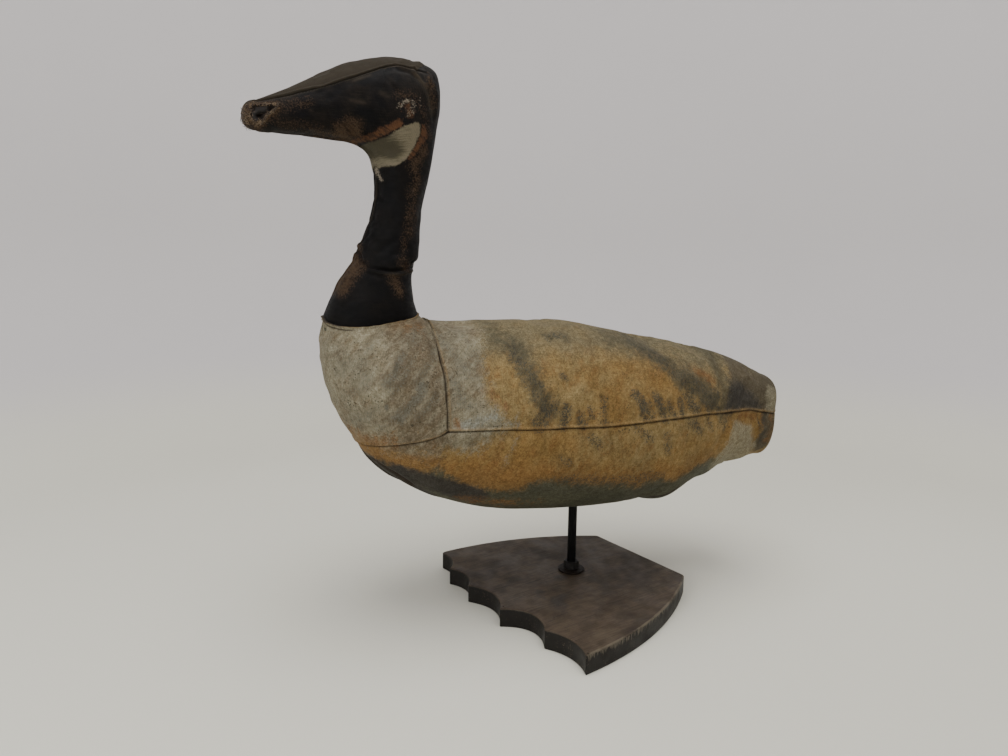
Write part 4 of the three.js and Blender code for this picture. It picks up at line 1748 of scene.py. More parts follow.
def chain_mesh(name: str, chains: Sequence[Array], attributes: Mapping[str, Sequence[Array]]) -> Mesh:
    """A mesh of edge chains.

    Args:
        name: Name of the mesh.
        chains: Points of each chain, in millimetres.
        attributes: Values at the points of each chain, by name: vectors or numbers.

    Returns:
        The mesh, in metres.
    """
    mesh = bpy.data.meshes.new(name)
    edges, start = [], 0
    for chain in chains:
        edges += [(start + i, start + i + 1) for i in range(len(chain) - 1)]
        start += len(chain)
    mesh.from_pydata((np.concatenate(chains) * MM).tolist(), edges, [])
    for key, parts in attributes.items():
        values = np.concatenate(parts)
        kind, field = ("FLOAT_VECTOR", "vector") if values.ndim == 2 else ("FLOAT", "value")
        layer = mesh.attributes.new(key, kind, "POINT")
        layer.data.foreach_set(field, values.astype(np.float32).ravel())
    return mesh


@dataclass(frozen=True)
class Hand:
    """What the maker's hand uses on the canvas: the trees for stitches and threads."""

    stitches: Growth
    threads: Growth


def read(grid: Array, i: Array, j: Array) -> Array:
    """Values of a grid between its points, where the columns go round.

    Args:
        grid: Numbers or vectors at rows and columns.
        i: Places along the rows.
        j: Places along the columns.

    Returns:
        The value at each place.
    """
    r = np.clip(np.floor(i).astype(int), 0, grid.shape[0] - 2)
    c = np.floor(j).astype(int)
    u, v = i - r, j - c
    if grid.ndim == 3:
        u, v = u[:, None], v[:, None]
    n = (c + 1) % grid.shape[1]
    c = c % grid.shape[1]
    before, after = (grid[r, k] * (1 - u) + grid[r + 1, k] * u for k in (c, n))
    return before * (1 - v) + after * v


def sew(
    name: str, skin: Skin, paths: Sequence[Array], masks: Mapping[str, Array], hand: Hand, finish: Material,
    slot: Slot, lift: float, **sizes: float,
) -> None:
    """Sews stitches along paths over a skin's grid.

    Args:
        name: Name of the piece.
        skin: The canvas skin.
        paths: For each seam, the row and column places of its points, as two columns of numbers.
        masks: The skin's paint masks, which the stitches take over.
        hand: The trees.
        finish: The canvas's finish.
        slot: The canvas's slot; not used.
        lift: Height of the stitches over the cloth, in millimetres.
        **sizes: Values of the stitches' sizes.
    """
    normals = skin.normals()
    chains: list[Array] = []
    stored: dict[str, list[Array]] = {"outward": [], **{key: [] for key in masks}}
    for path in paths:
        i = np.interp(path[:, 0], skin.rows, np.arange(len(skin.rows)))
        j = np.interp(path[:, 1], skin.columns, np.arange(len(skin.columns)))
        chains.append(read(skin.points, i, j) + read(normals, i, j) * lift)
        for key, parts in stored.items():
            parts.append(read(normals if key == "outward" else masks[key], i, j))
    piece = hand.stitches.grow(name, chain_mesh(name, chains, stored), finish, **sizes)
    dress(piece)


def dress(piece: Piece, material: Material | None = None, node: str | None = None) -> None:
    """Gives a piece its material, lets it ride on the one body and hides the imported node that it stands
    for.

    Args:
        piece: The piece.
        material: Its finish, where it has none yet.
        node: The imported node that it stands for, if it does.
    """
    if material is not None:
        piece.data.materials.clear()
        piece.data.materials.append(material)
    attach(piece, "root")
    if node is not None:
        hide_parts(node)


# Canvas pieces


@dataclass
class GooseBody:
    """The stuffed canvas body with its painted breast, flanks, belly and tail."""

    form: BodyForm = BodyForm()
    seam: Seam = Seam(1.2, 0.9, 1.1, 2.0, 1.2, 1.1, 9)
    back_seam: Seam = Seam(0.9, 0.9, 0, 1, 1, 0.5, 6)
    breast_seam: Seam = Seam(0.7, 0.9, 0.5, 2.2, 1.3, 0.4, 6)
    hem_seam: Seam = Seam(0.5, 0.8, 0.3, -1.4, 1.2, 0, 1)
    hole: tuple[float, float] = (-14.0, 229.0)
    puff: Puff = Puff()
    fill: float = 0.95
    rim_drop: float = 6.0
    rim_draw: float = 3.0
    shoulder: float = 3.4
    seam_shift: float = 5.0
    sag_start: float = 130.0
    sag_length: float = 100.0
    tail_sag: Stations = (0, -2.5, -4.5, -4.6, -4.0, -2.6, 0.8, 2.0, -0.5)
    fine: Grid = Grid(
        (
            (-2, -1, 6, 0), (-1, 0, 10, 0), (0, 1, 72, 0.55), (1, 2, 184, 0.35), (2, 2.5, 9, 0),
            (2.5, 2.97, 11, 0),
        ),
        tuple((start, start + 1, 74, 0.72) for start in range(-2, 2)),
    )
    coarse: Grid = Grid(
        ((-2, -1, 2, 0), (-1, 0, 2, 0), (0, 1, 14, 0), (1, 2, 34, 0), (2, 2.5, 3, 0), (2.5, 2.97, 3, 0)),
        ((-2, 2, 68, 0),),
    )
    creases: Marks = strokes(
        (5, 6, -1.5, (-72, 197), (-69, 190), (-70, 177)), (5, 6, 0.9, (-76, 196), (-74, 180)),
        (3.5, 4, -2.0, (-8, 197), (-3, 186), (-1, 170)), (5, 6, 0.9, (-3, 196), (3, 184), (4, 170)),
        (4, 5, 1.3, (-98, 197), (-102, 182), (-106, 166)),
        (4, 5, -0.9, (-94, 197), (-97, 182), (-100, 168)),
        (3.4, 2.4, -2.6, (-217, 167), (-206, 158.5), (-198, 153.5), (-190, 147.5), (-182, 140)),
        (3, 3, 1.2, (-216, 171), (-205, 163), (-196, 158), (-188, 152), (-180, 145)),
        (7, 8, 1.0, (-15, 196), (-9, 182), (-5, 166)),
        (14, 14, 0.9, (-190, 276), (-205, 250), (-222, 236)), (10, 10, -0.8, (-180, 250), (-200, 222)),
        (8, 10, 0.8, (-168, 240), (-188, 214), (-205, 205)),
        (5, 6, -0.7, (-165, 280), (-170, 262), (-182, 240)), (9, 10, -0.8, (-196, 290), (-205, 272)),
        (12, 14, 0.8, (-150, 280), (-140, 250), (-136, 222)), (7, 9, -0.8, (-158, 262), (-146, 238)),
        (8, 9, -0.7, (-100, 214), (-100, 196)), (9, 10, -0.8, (40, 196), (46, 178), (44, 160)),
        (8, 10, -0.9, (108, 196), (104, 178), (94, 160)), (8, 10, -0.6, (60, 206), (66, 226)),
        (9, 10, -1.0, (150, 196), (140, 178), (128, 164)), (7, 8, -0.8, (-130, 198), (-134, 182)),
    ) + strokes(
        (16, 18, 0.8, (-60, 190), (-40, 160)), (16, 18, 0.7, (70, 190), (90, 165)), side=Side.BOTH,
    ) + strokes(
        (14, 14, -0.9, (-170, 255), (-200, 228)), (8, 9, -1.2, (-30, 196), (-26, 172)),
        (8, 9, -1.1, (62, 198), (58, 176)), (9, 10, -0.9, (-110, 206), (-118, 226)),
        (8, 9, -0.9, (130, 198), (120, 178)), side=Side.RIGHT,
    )
    breast: Marks = patch(
        22, 1.0, Side.BOTH, (-340, 340), (-112, 340), (-116, 287), (-121, 262), (-124, 233), (-112, 220),
        (-102, 207), (-124, 192), (-142, 183), (-158, 186), (-172, 178), (-205, 180), (-226, 190),
        (-236, 182), (-340, 150),
    ) + strokes(
        (12, 14, 0.75, (-150, 194), (-134, 188)),
    )
    tea: Marks = strokes(
        (16, 18, 0.6, (-250, 284), (-236, 276)), (14, 16, 0.6, (-240, 240), (-228, 226)),
        (10, 12, 0.8, (-226, 196), (-204, 196)), (10, 12, 0.9, (-200, 291), (-176, 294)),
        (10, 12, 0.6, (-246, 222), (-240, 206)), (8, 10, 0.4, (-216, 262), (-206, 254)),
        (10, 12, 0.5, (-184, 276), (-172, 262)), (8, 10, 0.55, (-190, 204), (-176, 206)),
        (10, 12, 0.5, (-150, 284), (-128, 290)), (9, 12, 0.5, (-146, 240), (-132, 232)),
        (9, 12, 0.6, (-128, 260), (-122, 240)),
    ) + strokes(
        (10, 12, 0.5, (-150, 216), (-130, 226)), (10, 12, 0.7, (-230, 200), (-200, 196)), side=Side.RIGHT,
    )
    smoke: Marks = strokes(
        (7, 6, 0.85, (-195, 268), (-201, 260), (-205, 252), (-212, 244)),
        (9, 6, 0.9, (-179, 242), (-187, 231), (-200, 217)),
        (6, 7, 0.55, (-188, 262), (-198, 247), (-208, 236)), (7, 7, 0.6, (-168, 234), (-184, 216)),
        (7, 7, 0.6, (-164, 270), (-176, 256), (-186, 244)), (8, 8, 0.5, (-178, 290), (-186, 278)),
        (7, 9, 0.5, (-218, 278), (-228, 262)), (7, 9, 0.5, (-240, 268), (-246, 252)),
        (7, 9, 0.45, (-226, 250), (-238, 234)), (7, 9, 0.5, (-220, 222), (-234, 208)),
        (6, 8, 0.45, (-206, 214), (-218, 204)), (3, 1.5, 1.0, (-211, 226), (-211, 224)),
        (10, 12, 0.55, (-152, 276), (-142, 262), (-136, 250)),
        (10, 12, 0.6, (-154, 246), (-146, 228), (-138, 222)), (9, 12, 0.45, (-134, 284), (-124, 262)),
    ) + strokes(
        (8, 7, 0.8, (-185, 248), (-200, 226)), (6, 7, 0.7, (-205, 264), (-214, 240)),
        (7, 9, 0.6, (-236, 250), (-232, 232)), (9, 9, 0.55, (-150, 256), (-140, 232)), side=Side.RIGHT,
    )
    blue: Marks = strokes(
        (9, 12, 0.8, (-148, 206), (-134, 210), (-118, 214)), (7, 10, 0.6, (-116, 208), (-102, 210)),
        (3.5, 4, 0.75, (-97, 217), (-97, 205)), (3, 8, 0.6, (-99, 194), (-103, 182), (-107, 168)),
    )
    olive: Marks = strokes(
        (22, 24, 0.9, (-104, 282), (-90, 272), (-84, 254), (-79, 240), (-70, 222)),
        (16, 20, 0.5, (-76, 236), (-60, 216)), (8, 12, 0.5, (-56, 282), (-34, 279)),
        (8, 14, 0.4, (0, 250), (20, 242)), (22, 26, 0.9, (14, 278), (44, 270), (64, 258), (82, 244)),
        (18, 26, 0.6, (60, 276), (92, 262), (112, 246)), (24, 18, 1.0, (80, 240), (100, 230), (118, 216)),
        (18, 24, 0.6, (96, 262), (122, 252), (140, 238)),
        (24, 24, 1.0, (142, 262), (137, 246), (138, 226), (138, 206)),
        (10, 14, 0.35, (-110, 214), (-70, 208), (-20, 207)),
        (14, 14, 0.42, (24, 216), (70, 210), (120, 208)),
    ) + strokes(
        (20, 24, 0.8, (-90, 268), (-76, 236), (-70, 214)), (26, 30, 0.8, (10, 268), (60, 252), (110, 226)),
        (9, 7, 0.8, (-20, 226), (-10, 204)), (9, 7, 0.9, (28, 222), (38, 204)),
        (9, 7, 0.8, (76, 216), (86, 204)), side=Side.RIGHT,
    )
    ink: Marks = strokes(
        (14, 12, 0.43, (-92, 268), (-84, 252), (-76, 232), (-72, 220)),
        (14, 8, 0.55, (-66, 222), (-77, 206)), (9, 4, 0.63, (-50, 219), (-54, 203)),
        (9, 5, 0.55, (-37, 212), (-34, 203)), (4, 4, 0.48, (-26, 217), (-24, 210)),
        (6, 5, 0.5, (-12, 224), (-12, 202)), (9, 4, 0.65, (22, 229), (28, 220), (32, 206)),
        (4, 4, 0.59, (35, 222), (40, 206)), (9, 4, 0.65, (44, 226), (50, 215), (54, 203)),
        (7, 5, 0.55, (60, 218), (66, 204)), (6, 5, 0.58, (74, 218), (78, 204)),
        (10, 6, 0.61, (84, 222), (98, 205)), (17, 12, 0.48, (84, 238), (104, 228), (116, 214)),
        (7, 9, 0.5, (96, 248), (112, 236), (126, 220)), (6, 5, 0.59, (108, 214), (112, 204)),
        (6, 5, 0.59, (120, 214), (124, 204)), (12, 12, 0.42, (40, 272), (60, 260), (76, 244)),
        (6, 4, 0.59, (-49, 248), (-48, 246)), (6, 8, 0.46, (-53, 281), (-36, 279)),
        (6, 8, 0.44, (-26, 192), (-18, 182)), (7, 9, 0.46, (22, 196), (40, 184)),
        (7, 8, 0.46, (58, 186), (62, 170)), (9, 7, 0.55, (90, 197), (102, 186)),
        (6, 6, 0.48, (112, 196), (118, 186)), (6, 7, 0.44, (-54, 173), (-45, 168)),
        (10, 10, 0.42, (-50, 150), (20, 142), (60, 142)), (4, 4, 0.55, (194, 190), (202, 172), (204, 158)),
        (4, 6, 0.46, (140, 196), (137, 182)),
    ) + strokes(
        (6, 6, 0.6, (205, 190), (206, 174), (203, 160)), side=Side.BOTH,
    ) + strokes(
        (9, 6, 0.59, (30, 224), (36, 204)), (16, 12, 0.54, (88, 232), (110, 220)), side=Side.RIGHT,
    )
    soot: Marks = patch(
        20, 0.8, Side.BOTH, (137, 201), (141, 218), (148, 230), (164, 232), (182, 221), (196, 208),
        (201, 198), (170, 199),
    ) + strokes(
        (22, 14, 1.0, (-216, 160), (-206, 150), (-190, 138), (-172, 128)),
        (20, 14, 1.0, (-200, 159), (-174, 153), (-150, 142), (-126, 134)),
        (14, 18, 0.35, (-60, 138), (0, 132), (60, 128)), side=Side.BOTH,
    )
    # Slits whose openings are darkened with painted shade.
    slits: Marks = strokes(
        (4.5, 2, 1.0, (-217, 167), (-206, 158.5), (-198, 153.5), (-190, 147.5), (-182, 140)),
        (4.5, 2.5, 1.0, (68, 108), (80, 109), (88, 114), (94, 120)),
    )
    umber: Marks = patch(
        26, 0.8, Side.BOTH, (-244, 190), (-226, 196), (-205, 192), (-172, 190), (-150, 178), (-120, 176),
        (-80, 172), (-40, 168), (20, 158), (80, 152), (130, 160), (120, 100), (-250, 100),
    ) + strokes(
        (10, 8, 1.0, (204, 192), (207, 176), (210, 160)), side=Side.BOTH,
    )
    belly: Marks = patch(
        15, 1.0, Side.BOTH, (-262, 176), (-226, 172), (-209, 167), (-185, 162), (-165, 168), (-143, 147),
        (-107, 141), (-90, 141), (-74, 150), (-52, 149), (-30, 143), (15, 138), (39, 134), (54, 139),
        (81, 135), (99, 143), (119, 149), (141, 151), (166, 148), (140, 60), (-262, 60),
    )
    tail: Marks = patch(
        15, 1.0, Side.BOTH, (138, 203), (142, 216), (146, 228), (152, 240), (157, 252), (164, 275),
        (260, 275), (260, 202), (214, 194), (180, 199), (150, 201),
    ) + strokes(
        (22, 9, 0.9, (211, 192), (213, 176), (210, 156)), side=Side.BOTH,
    )
    pale: Marks = strokes(
        (17, 9, 1.0, (214, 212), (216, 199)), (8, 14, 0.22, (176, 240), (200, 236)), side=Side.BOTH,
    ) + patch(
        11, 0.95, Side.BOTH, (154, 189), (170, 186), (184, 180), (193, 170), (198, 156), (198, 140),
        (180, 128), (150, 132), (132, 142), (139, 156), (148, 172),
    )
    rust: Marks = strokes(
        (9, 14, 0.5, (-190, 294), (-172, 288)), (13, 14, 0.72, (-238, 197), (-226, 191), (-206, 192)),
        (5, 6, 0.8, (-153, 213), (-150, 206)), (9, 9, 0.6, (-122, 236), (-118, 228)),
        (7, 8, 0.7, (-116, 230), (-106, 222)), (8, 10, 0.5, (-176, 190), (-160, 186)),
        (8, 10, 0.5, (-192, 181), (-170, 176)), (6, 8, 0.55, (-112, 190), (-116, 172)),
        (8, 8, 0.75, (105, 245), (114, 241), (124, 234)), (9, 8, 0.8, (166, 195), (190, 189)),
        (10, 14, 0.75, (-139, 130), (-112, 125), (-89, 123)), (8, 8, 0.3, (-60, 186), (-58, 180)),
        (9, 10, 0.4, (-16, 176), (-12, 172)),
    ) + strokes(
        (9, 8, 0.62, (216, 188), (218, 174), (215, 160)), (9, 14, 0.5, (-112, 124), (-60, 121)),
        side=Side.BOTH,
    ) + strokes(
        (7, 9, 0.6, (-150, 216), (-130, 228)), (8, 9, 0.6, (150, 194), (184, 188)), side=Side.RIGHT,
    )

    def build(self, hand: Hand, finish: Material) -> Piece:
        """Builds the body with its stitches.

        Args:
            hand: The trees for stitches and threads.
            finish: Painted canvas.

        Returns:
            The body's skin.
        """
        skin = self.fine.skin(self.form)
        skin = Skin(skin.rows, skin.columns, skin.points + self._stuffed(skin))
        place = skin.points.copy()
        skin.raise_by(self._relief(skin, place))
        self._lap(skin)
        self._wobble_hem(skin, place)
        under = smoothstep(178, 150, place[..., 2]) * (skin.rows[:, None] > 1)
        behind = np.clip((place[..., 0] - self.sag_start) / self.sag_length, 0, 1)
        skin.points[..., 2] += catmull(self.tail_sag, behind) * under
        masks = self._masks(skin, place)
        piece = skin.mesh("body_canvas", masks)
        dress(piece, finish, "goose_body")
        self._sew(skin, masks, hand, finish)
        return piece

    def _stuffed(self, fine: Skin) -> Array:
        """Movement of the fine skin when the canvas is stuffed.

        Args:
            fine: The fine skin, which isn't changed.

        Returns:
            How far each point moves, in millimetres.
        """
        coarse = self.coarse.skin(self.form)
        r, w = coarse.rows[:, None], np.abs(coarse.columns)[None, :]
        behind = smoothstep(0.95, 1.05, r)
        pins = np.maximum(1 - smoothstep(0.0, 0.12, r), smoothstep(1.9, 2.0, r)) + 0 * w
        pins = np.maximum(pins, 0.85 * bell(r - 1, 0.03) + 0 * w)
        pins = np.maximum(pins, 0.85 * bell(w - 1, 0.04) * behind)
        pins = np.maximum(pins, 0.6 * bell(w, 0.04) + 0 * r)
        pins = np.maximum(pins, 0.6 * bell(w - 2, 0.04) * behind)
        return spread(self.puff.move(coarse, np.clip(pins, 0, 1)), coarse, fine)

    def _relief(self, skin: Skin, place: Array) -> Array:
        """Height of seams, puckers, creases and lumps, in millimetres.

        Args:
            skin: The skin.
            place: Points in millimetres.

        Returns:
            The height at each point.
        """
        r, w = skin.rows[:, None], np.abs(skin.columns)[None, :]
        outside = smoothstep(0.0, 0.08, r)
        behind = smoothstep(0.97, 1.0, r) * (1 - smoothstep(2.1, 2.5, r))
        height = 1.0 * noise(place, (75, 50, 50), 3, 2) + 0.3 * noise(place, 17, 8, 2)
        height = height * smoothstep(0.0, 0.35, r) * (0.35 + 0.65 * (1 - smoothstep(1.5, 1.9, w)))
        height = height + creased(place, self.creases)
        upper = smoothstep(0.9, 1.1, w)
        chest = skin.past_row(1)
        pucker = 1 + 0.5 * noise(place, 11, 21)
        height += (self.seam.height(chest) * upper + self.seam.height(-chest) * (1 - upper)) * pucker
        side = skin.past_column(1) * np.where(skin.columns >= 0, 1, 0)[None, :]
        side = side + -skin.past_column(-1) * np.where(skin.columns < 0, 1, 0)[None, :]
        height += self.seam.height(side) * pucker * behind
        tuck = noise(place, (7, 30, 30), 33) * bell(np.abs(side) - 6, 6) * behind
        tuck += noise(place, (30, 30, 8), 34) * bell(np.abs(chest) - 6, 6) * smoothstep(0.95, 1.1, w)
        height += 0.55 * tuck
        back = np.abs(skin.past_column(-2))
        height += self.back_seam.height(back) * behind
        front = self.breast_seam.height(skin.past_column(0))
        height += front * (1 - smoothstep(0.99, 1.0, r)) * outside
        return height * outside

    def _lap(self, skin: Skin) -> None:
        """Laps the left belly panel over the right one along the belly's middle.

        Args:
            skin: The skin.
        """
        r = skin.rows[:, None]
        distance = skin.past_column(0)
        long = smoothstep(1.0, 1.04, r) * (1 - smoothstep(1.86, 1.95, r))
        gape = bell(r - 1.05, 0.16) + 0.9 * bell(r - 1.8, 0.07)
        step = 0.8 * bell(distance + 1.6, 1.5) - (1.3 + 2.2 * gape) * bell(distance - 0.8, 1.0)
        step = step + (0.6 + 3.0 * gape) * bell(distance - 5.5, 4.0)
        skin.raise_by(step * long * (1 + 0.3 * noise(skin.points, 20, 41)))

    def _wobble_hem(self, skin: Skin, place: Array) -> None:
        """Lets the rolled edge of the neck opening wave and pinch a little.

        Args:
            skin: The skin.
            place: Points in millimetres.
        """
        r = skin.rows[:, None]
        near = smoothstep(-1.0, -0.6, r) * (1 - smoothstep(0.02, 0.16, r))
        wave = 0.5 * noise(skin.points * [1, 1, 0], 18, 52, 2)
        fat = 0.2 * bell(r + 0.35, 0.45)
        skin.points[..., 2] += wave * near
        skin.raise_by(fat * near + self.hem_seam.height(skin.past_row(0) - 3.4) * (r > 0))
        x, y = skin.points[..., 0], skin.points[..., 1]
        below = np.where(r > 0, bell(skin.past_row(0), 16.0), 1.0) * (1 - smoothstep(-1.0, -2.0, r))
        drop = self.rim_drop * (0.3 + 0.7 * smoothstep(0, 17, np.abs(y))) * (1 - smoothstep(-252, -192, x))
        drop = drop + 2.8 * bell(x + 166, 9) * (r < 0.05)
        shoulder = self.shoulder * bell(x + 161, 15) * smoothstep(1.45, 1.8, np.abs(skin.columns))[None, :]
        tight = self.rim_draw * np.where(r > 0, bell(skin.past_row(0), 9.0), 1.0) * (r > -1.6)
        skin.points[..., 2] += shoulder * (r > -1.6) - drop * below
        skin.points[..., 0] -= tight * (x + 213) / 48
        skin.points[..., 1] -= 0.6 * tight * y / 42
        high = smoothstep(244, 290, place[..., 2]) * smoothstep(1.05, 1.3, np.abs(skin.columns))[None, :]
        skin.points[..., 0] -= self.seam_shift * bell(x + 146, 22) * smoothstep(-176, -156, x) * high
        front = (1 - smoothstep(-244, -224, x)) * smoothstep(4, 8, np.abs(y))
        skin.raise_by(-1.4 * front * bell(skin.past_row(0) - 1.7, 0.8) * (r > -0.2))

    def _masks(self, skin: Skin, place: Array) -> dict[str, Array]:
        """Paint masks and seam masks of the skin.

        Args:
            skin: The skin.
            place: Points in millimetres.

        Returns:
            The masks by name.
        """
        r, w = skin.rows[:, None], np.abs(skin.columns)[None, :]
        x, y, z = np.moveaxis(place, -1, 0)
        behind = smoothstep(0.99, 1.0, r) * (1 - smoothstep(2.2, 2.4, r))
        names = ("breast", "smoke", "blue", "olive", "umber", "belly", "tail", "pale", "rust", "tea")
        masks = {}
        for index, name in enumerate(names):
            marks = tuple(mark.softened(1.7) for mark in getattr(self, name))
            masks[name] = painted(place, marks, 3.5, 60 + 3 * index)
        masks["ink"] = painted(place, self.ink, 3.0, 84)
        masks["soot"] = painted(place, self.soot, 1.6, 87)
        masks["lit"] = 1 - smoothstep(-232, -196, x) + 0.6 * smoothstep(-170, -140, x)
        # Painted shade: inside the neck opening, the rolled edge's inner side and the socket take the dark
        # belly coat.
        inner = 1 - smoothstep(-0.75, -0.3, r)
        masks["belly"] = np.maximum(masks["belly"], inner + 0 * w)
        rim = bell(r + 0.4, 0.3)
        masks["umber"] = np.maximum(masks["umber"], 0.7 * rim + 0 * w)
        masks["breast"] = masks["breast"] * (1 - 0.85 * np.clip(rim, 0, 1))
        # Painted shade: the front end of the rolled rim is darkened with the soot coat.
        masks["soot"] = np.maximum(masks["soot"], 0.85 * rim * smoothstep(-236, -250, x))
        rear = smoothstep(20, 120, x) * smoothstep(216, 256, z)
        masks["top"] = np.clip(smoothstep(240, 284, z) + 0.75 * rear * (w > 1), 0, 1)
        chest = skin.past_row(1)
        side = np.minimum(np.abs(skin.past_column(1)), np.abs(skin.past_column(-1)))
        front, back = np.abs(skin.past_column(0)), np.abs(skin.past_column(-2))
        line = np.maximum(bell(chest, 0.75), bell(side, 0.75) * behind)
        line = np.maximum(line, 0.8 * bell(back, 0.8) * behind)
        line = np.maximum(line, 0.7 * bell(front, 0.7) * (r > 0.02) * (r < 1))
        line = np.maximum(line, bell(skin.past_column(0) - 0.7, 1.1) * behind)
        # The slits get painted shade along with the seam lines.
        masks["seam_line"] = np.maximum(line, painted(place, self.slits, 0.6, 90))
        ridge = bell(chest * np.where(w > 1, 1, -1) - 2.0, 1.0)
        left = np.where(skin.columns < 0, -skin.past_column(-1), skin.past_column(1))
        ridge = np.maximum(ridge, bell(left - 2.0, 1.0) * behind)
        masks["seam_ridge"] = np.clip(ridge * (0.8 + 0.4 * noise(place, 8, 90)), 0, 1)
        # Painted shade: the groove under the rim's front lip is darkened with the seam lines.
        rim_gap = bell(skin.past_row(0) - 1.7, 0.8) * (x < -222) * (np.abs(y) > 4)
        rim_gap = rim_gap * (1 - smoothstep(-244, -224, x))
        masks["seam_line"] = np.maximum(masks["seam_line"], rim_gap)
        # Painted shade: a small hole in the canvas is a dark dot.
        hole = np.hypot(x - self.hole[0], z - self.hole[1])
        masks["seam_line"] = np.maximum(masks["seam_line"], bell(hole, 1.3) * (y < 0))
        near_seam = bell(side - 8, 14) * behind * (r > 1.25)
        dry = 0.3 + 0.3 * near_seam + 0.28 * masks["breast"] + 0.22 * masks["olive"]
        masks["flaky"] = np.clip(dry, 0, 0.72)
        return masks

    def _sew(self, skin: Skin, masks: Mapping[str, Array], hand: Hand, finish: Material) -> None:
        """Sews the body's seams.

        Args:
            skin: The skin.
            masks: The skin's masks by name.
            hand: The trees for stitches and threads.
            finish: The canvas's finish.
        """
        run = np.linspace(0, 1, 160)
        paths = []
        for side in (-1, 1):
            paths.append(np.stack([1.0 + 0.99 * run, np.full(160, side * 1.006)], axis=1))
            across = np.interp(run, [0, 0.55, 1], [0.03, 1.0, 1.98]) * side
            paths.append(np.stack([np.where(np.abs(across) > 1, 1.004, 0.985), across], axis=1))
        names = ("breast", "umber", "belly", "tail", "pale", "rust", "top", "tea", "soot", "ink", "lit")
        shared = {key: masks[key] for key in names}
        sizes = {"Pitch": 0.0034, "Length": 0.0026, "Radius": 0.0003, "Slant": 0.9}
        sew("body_stitches", skin, paths, shared, hand, finish, Slot.PAINTED_CANVAS, 0.1, **sizes)


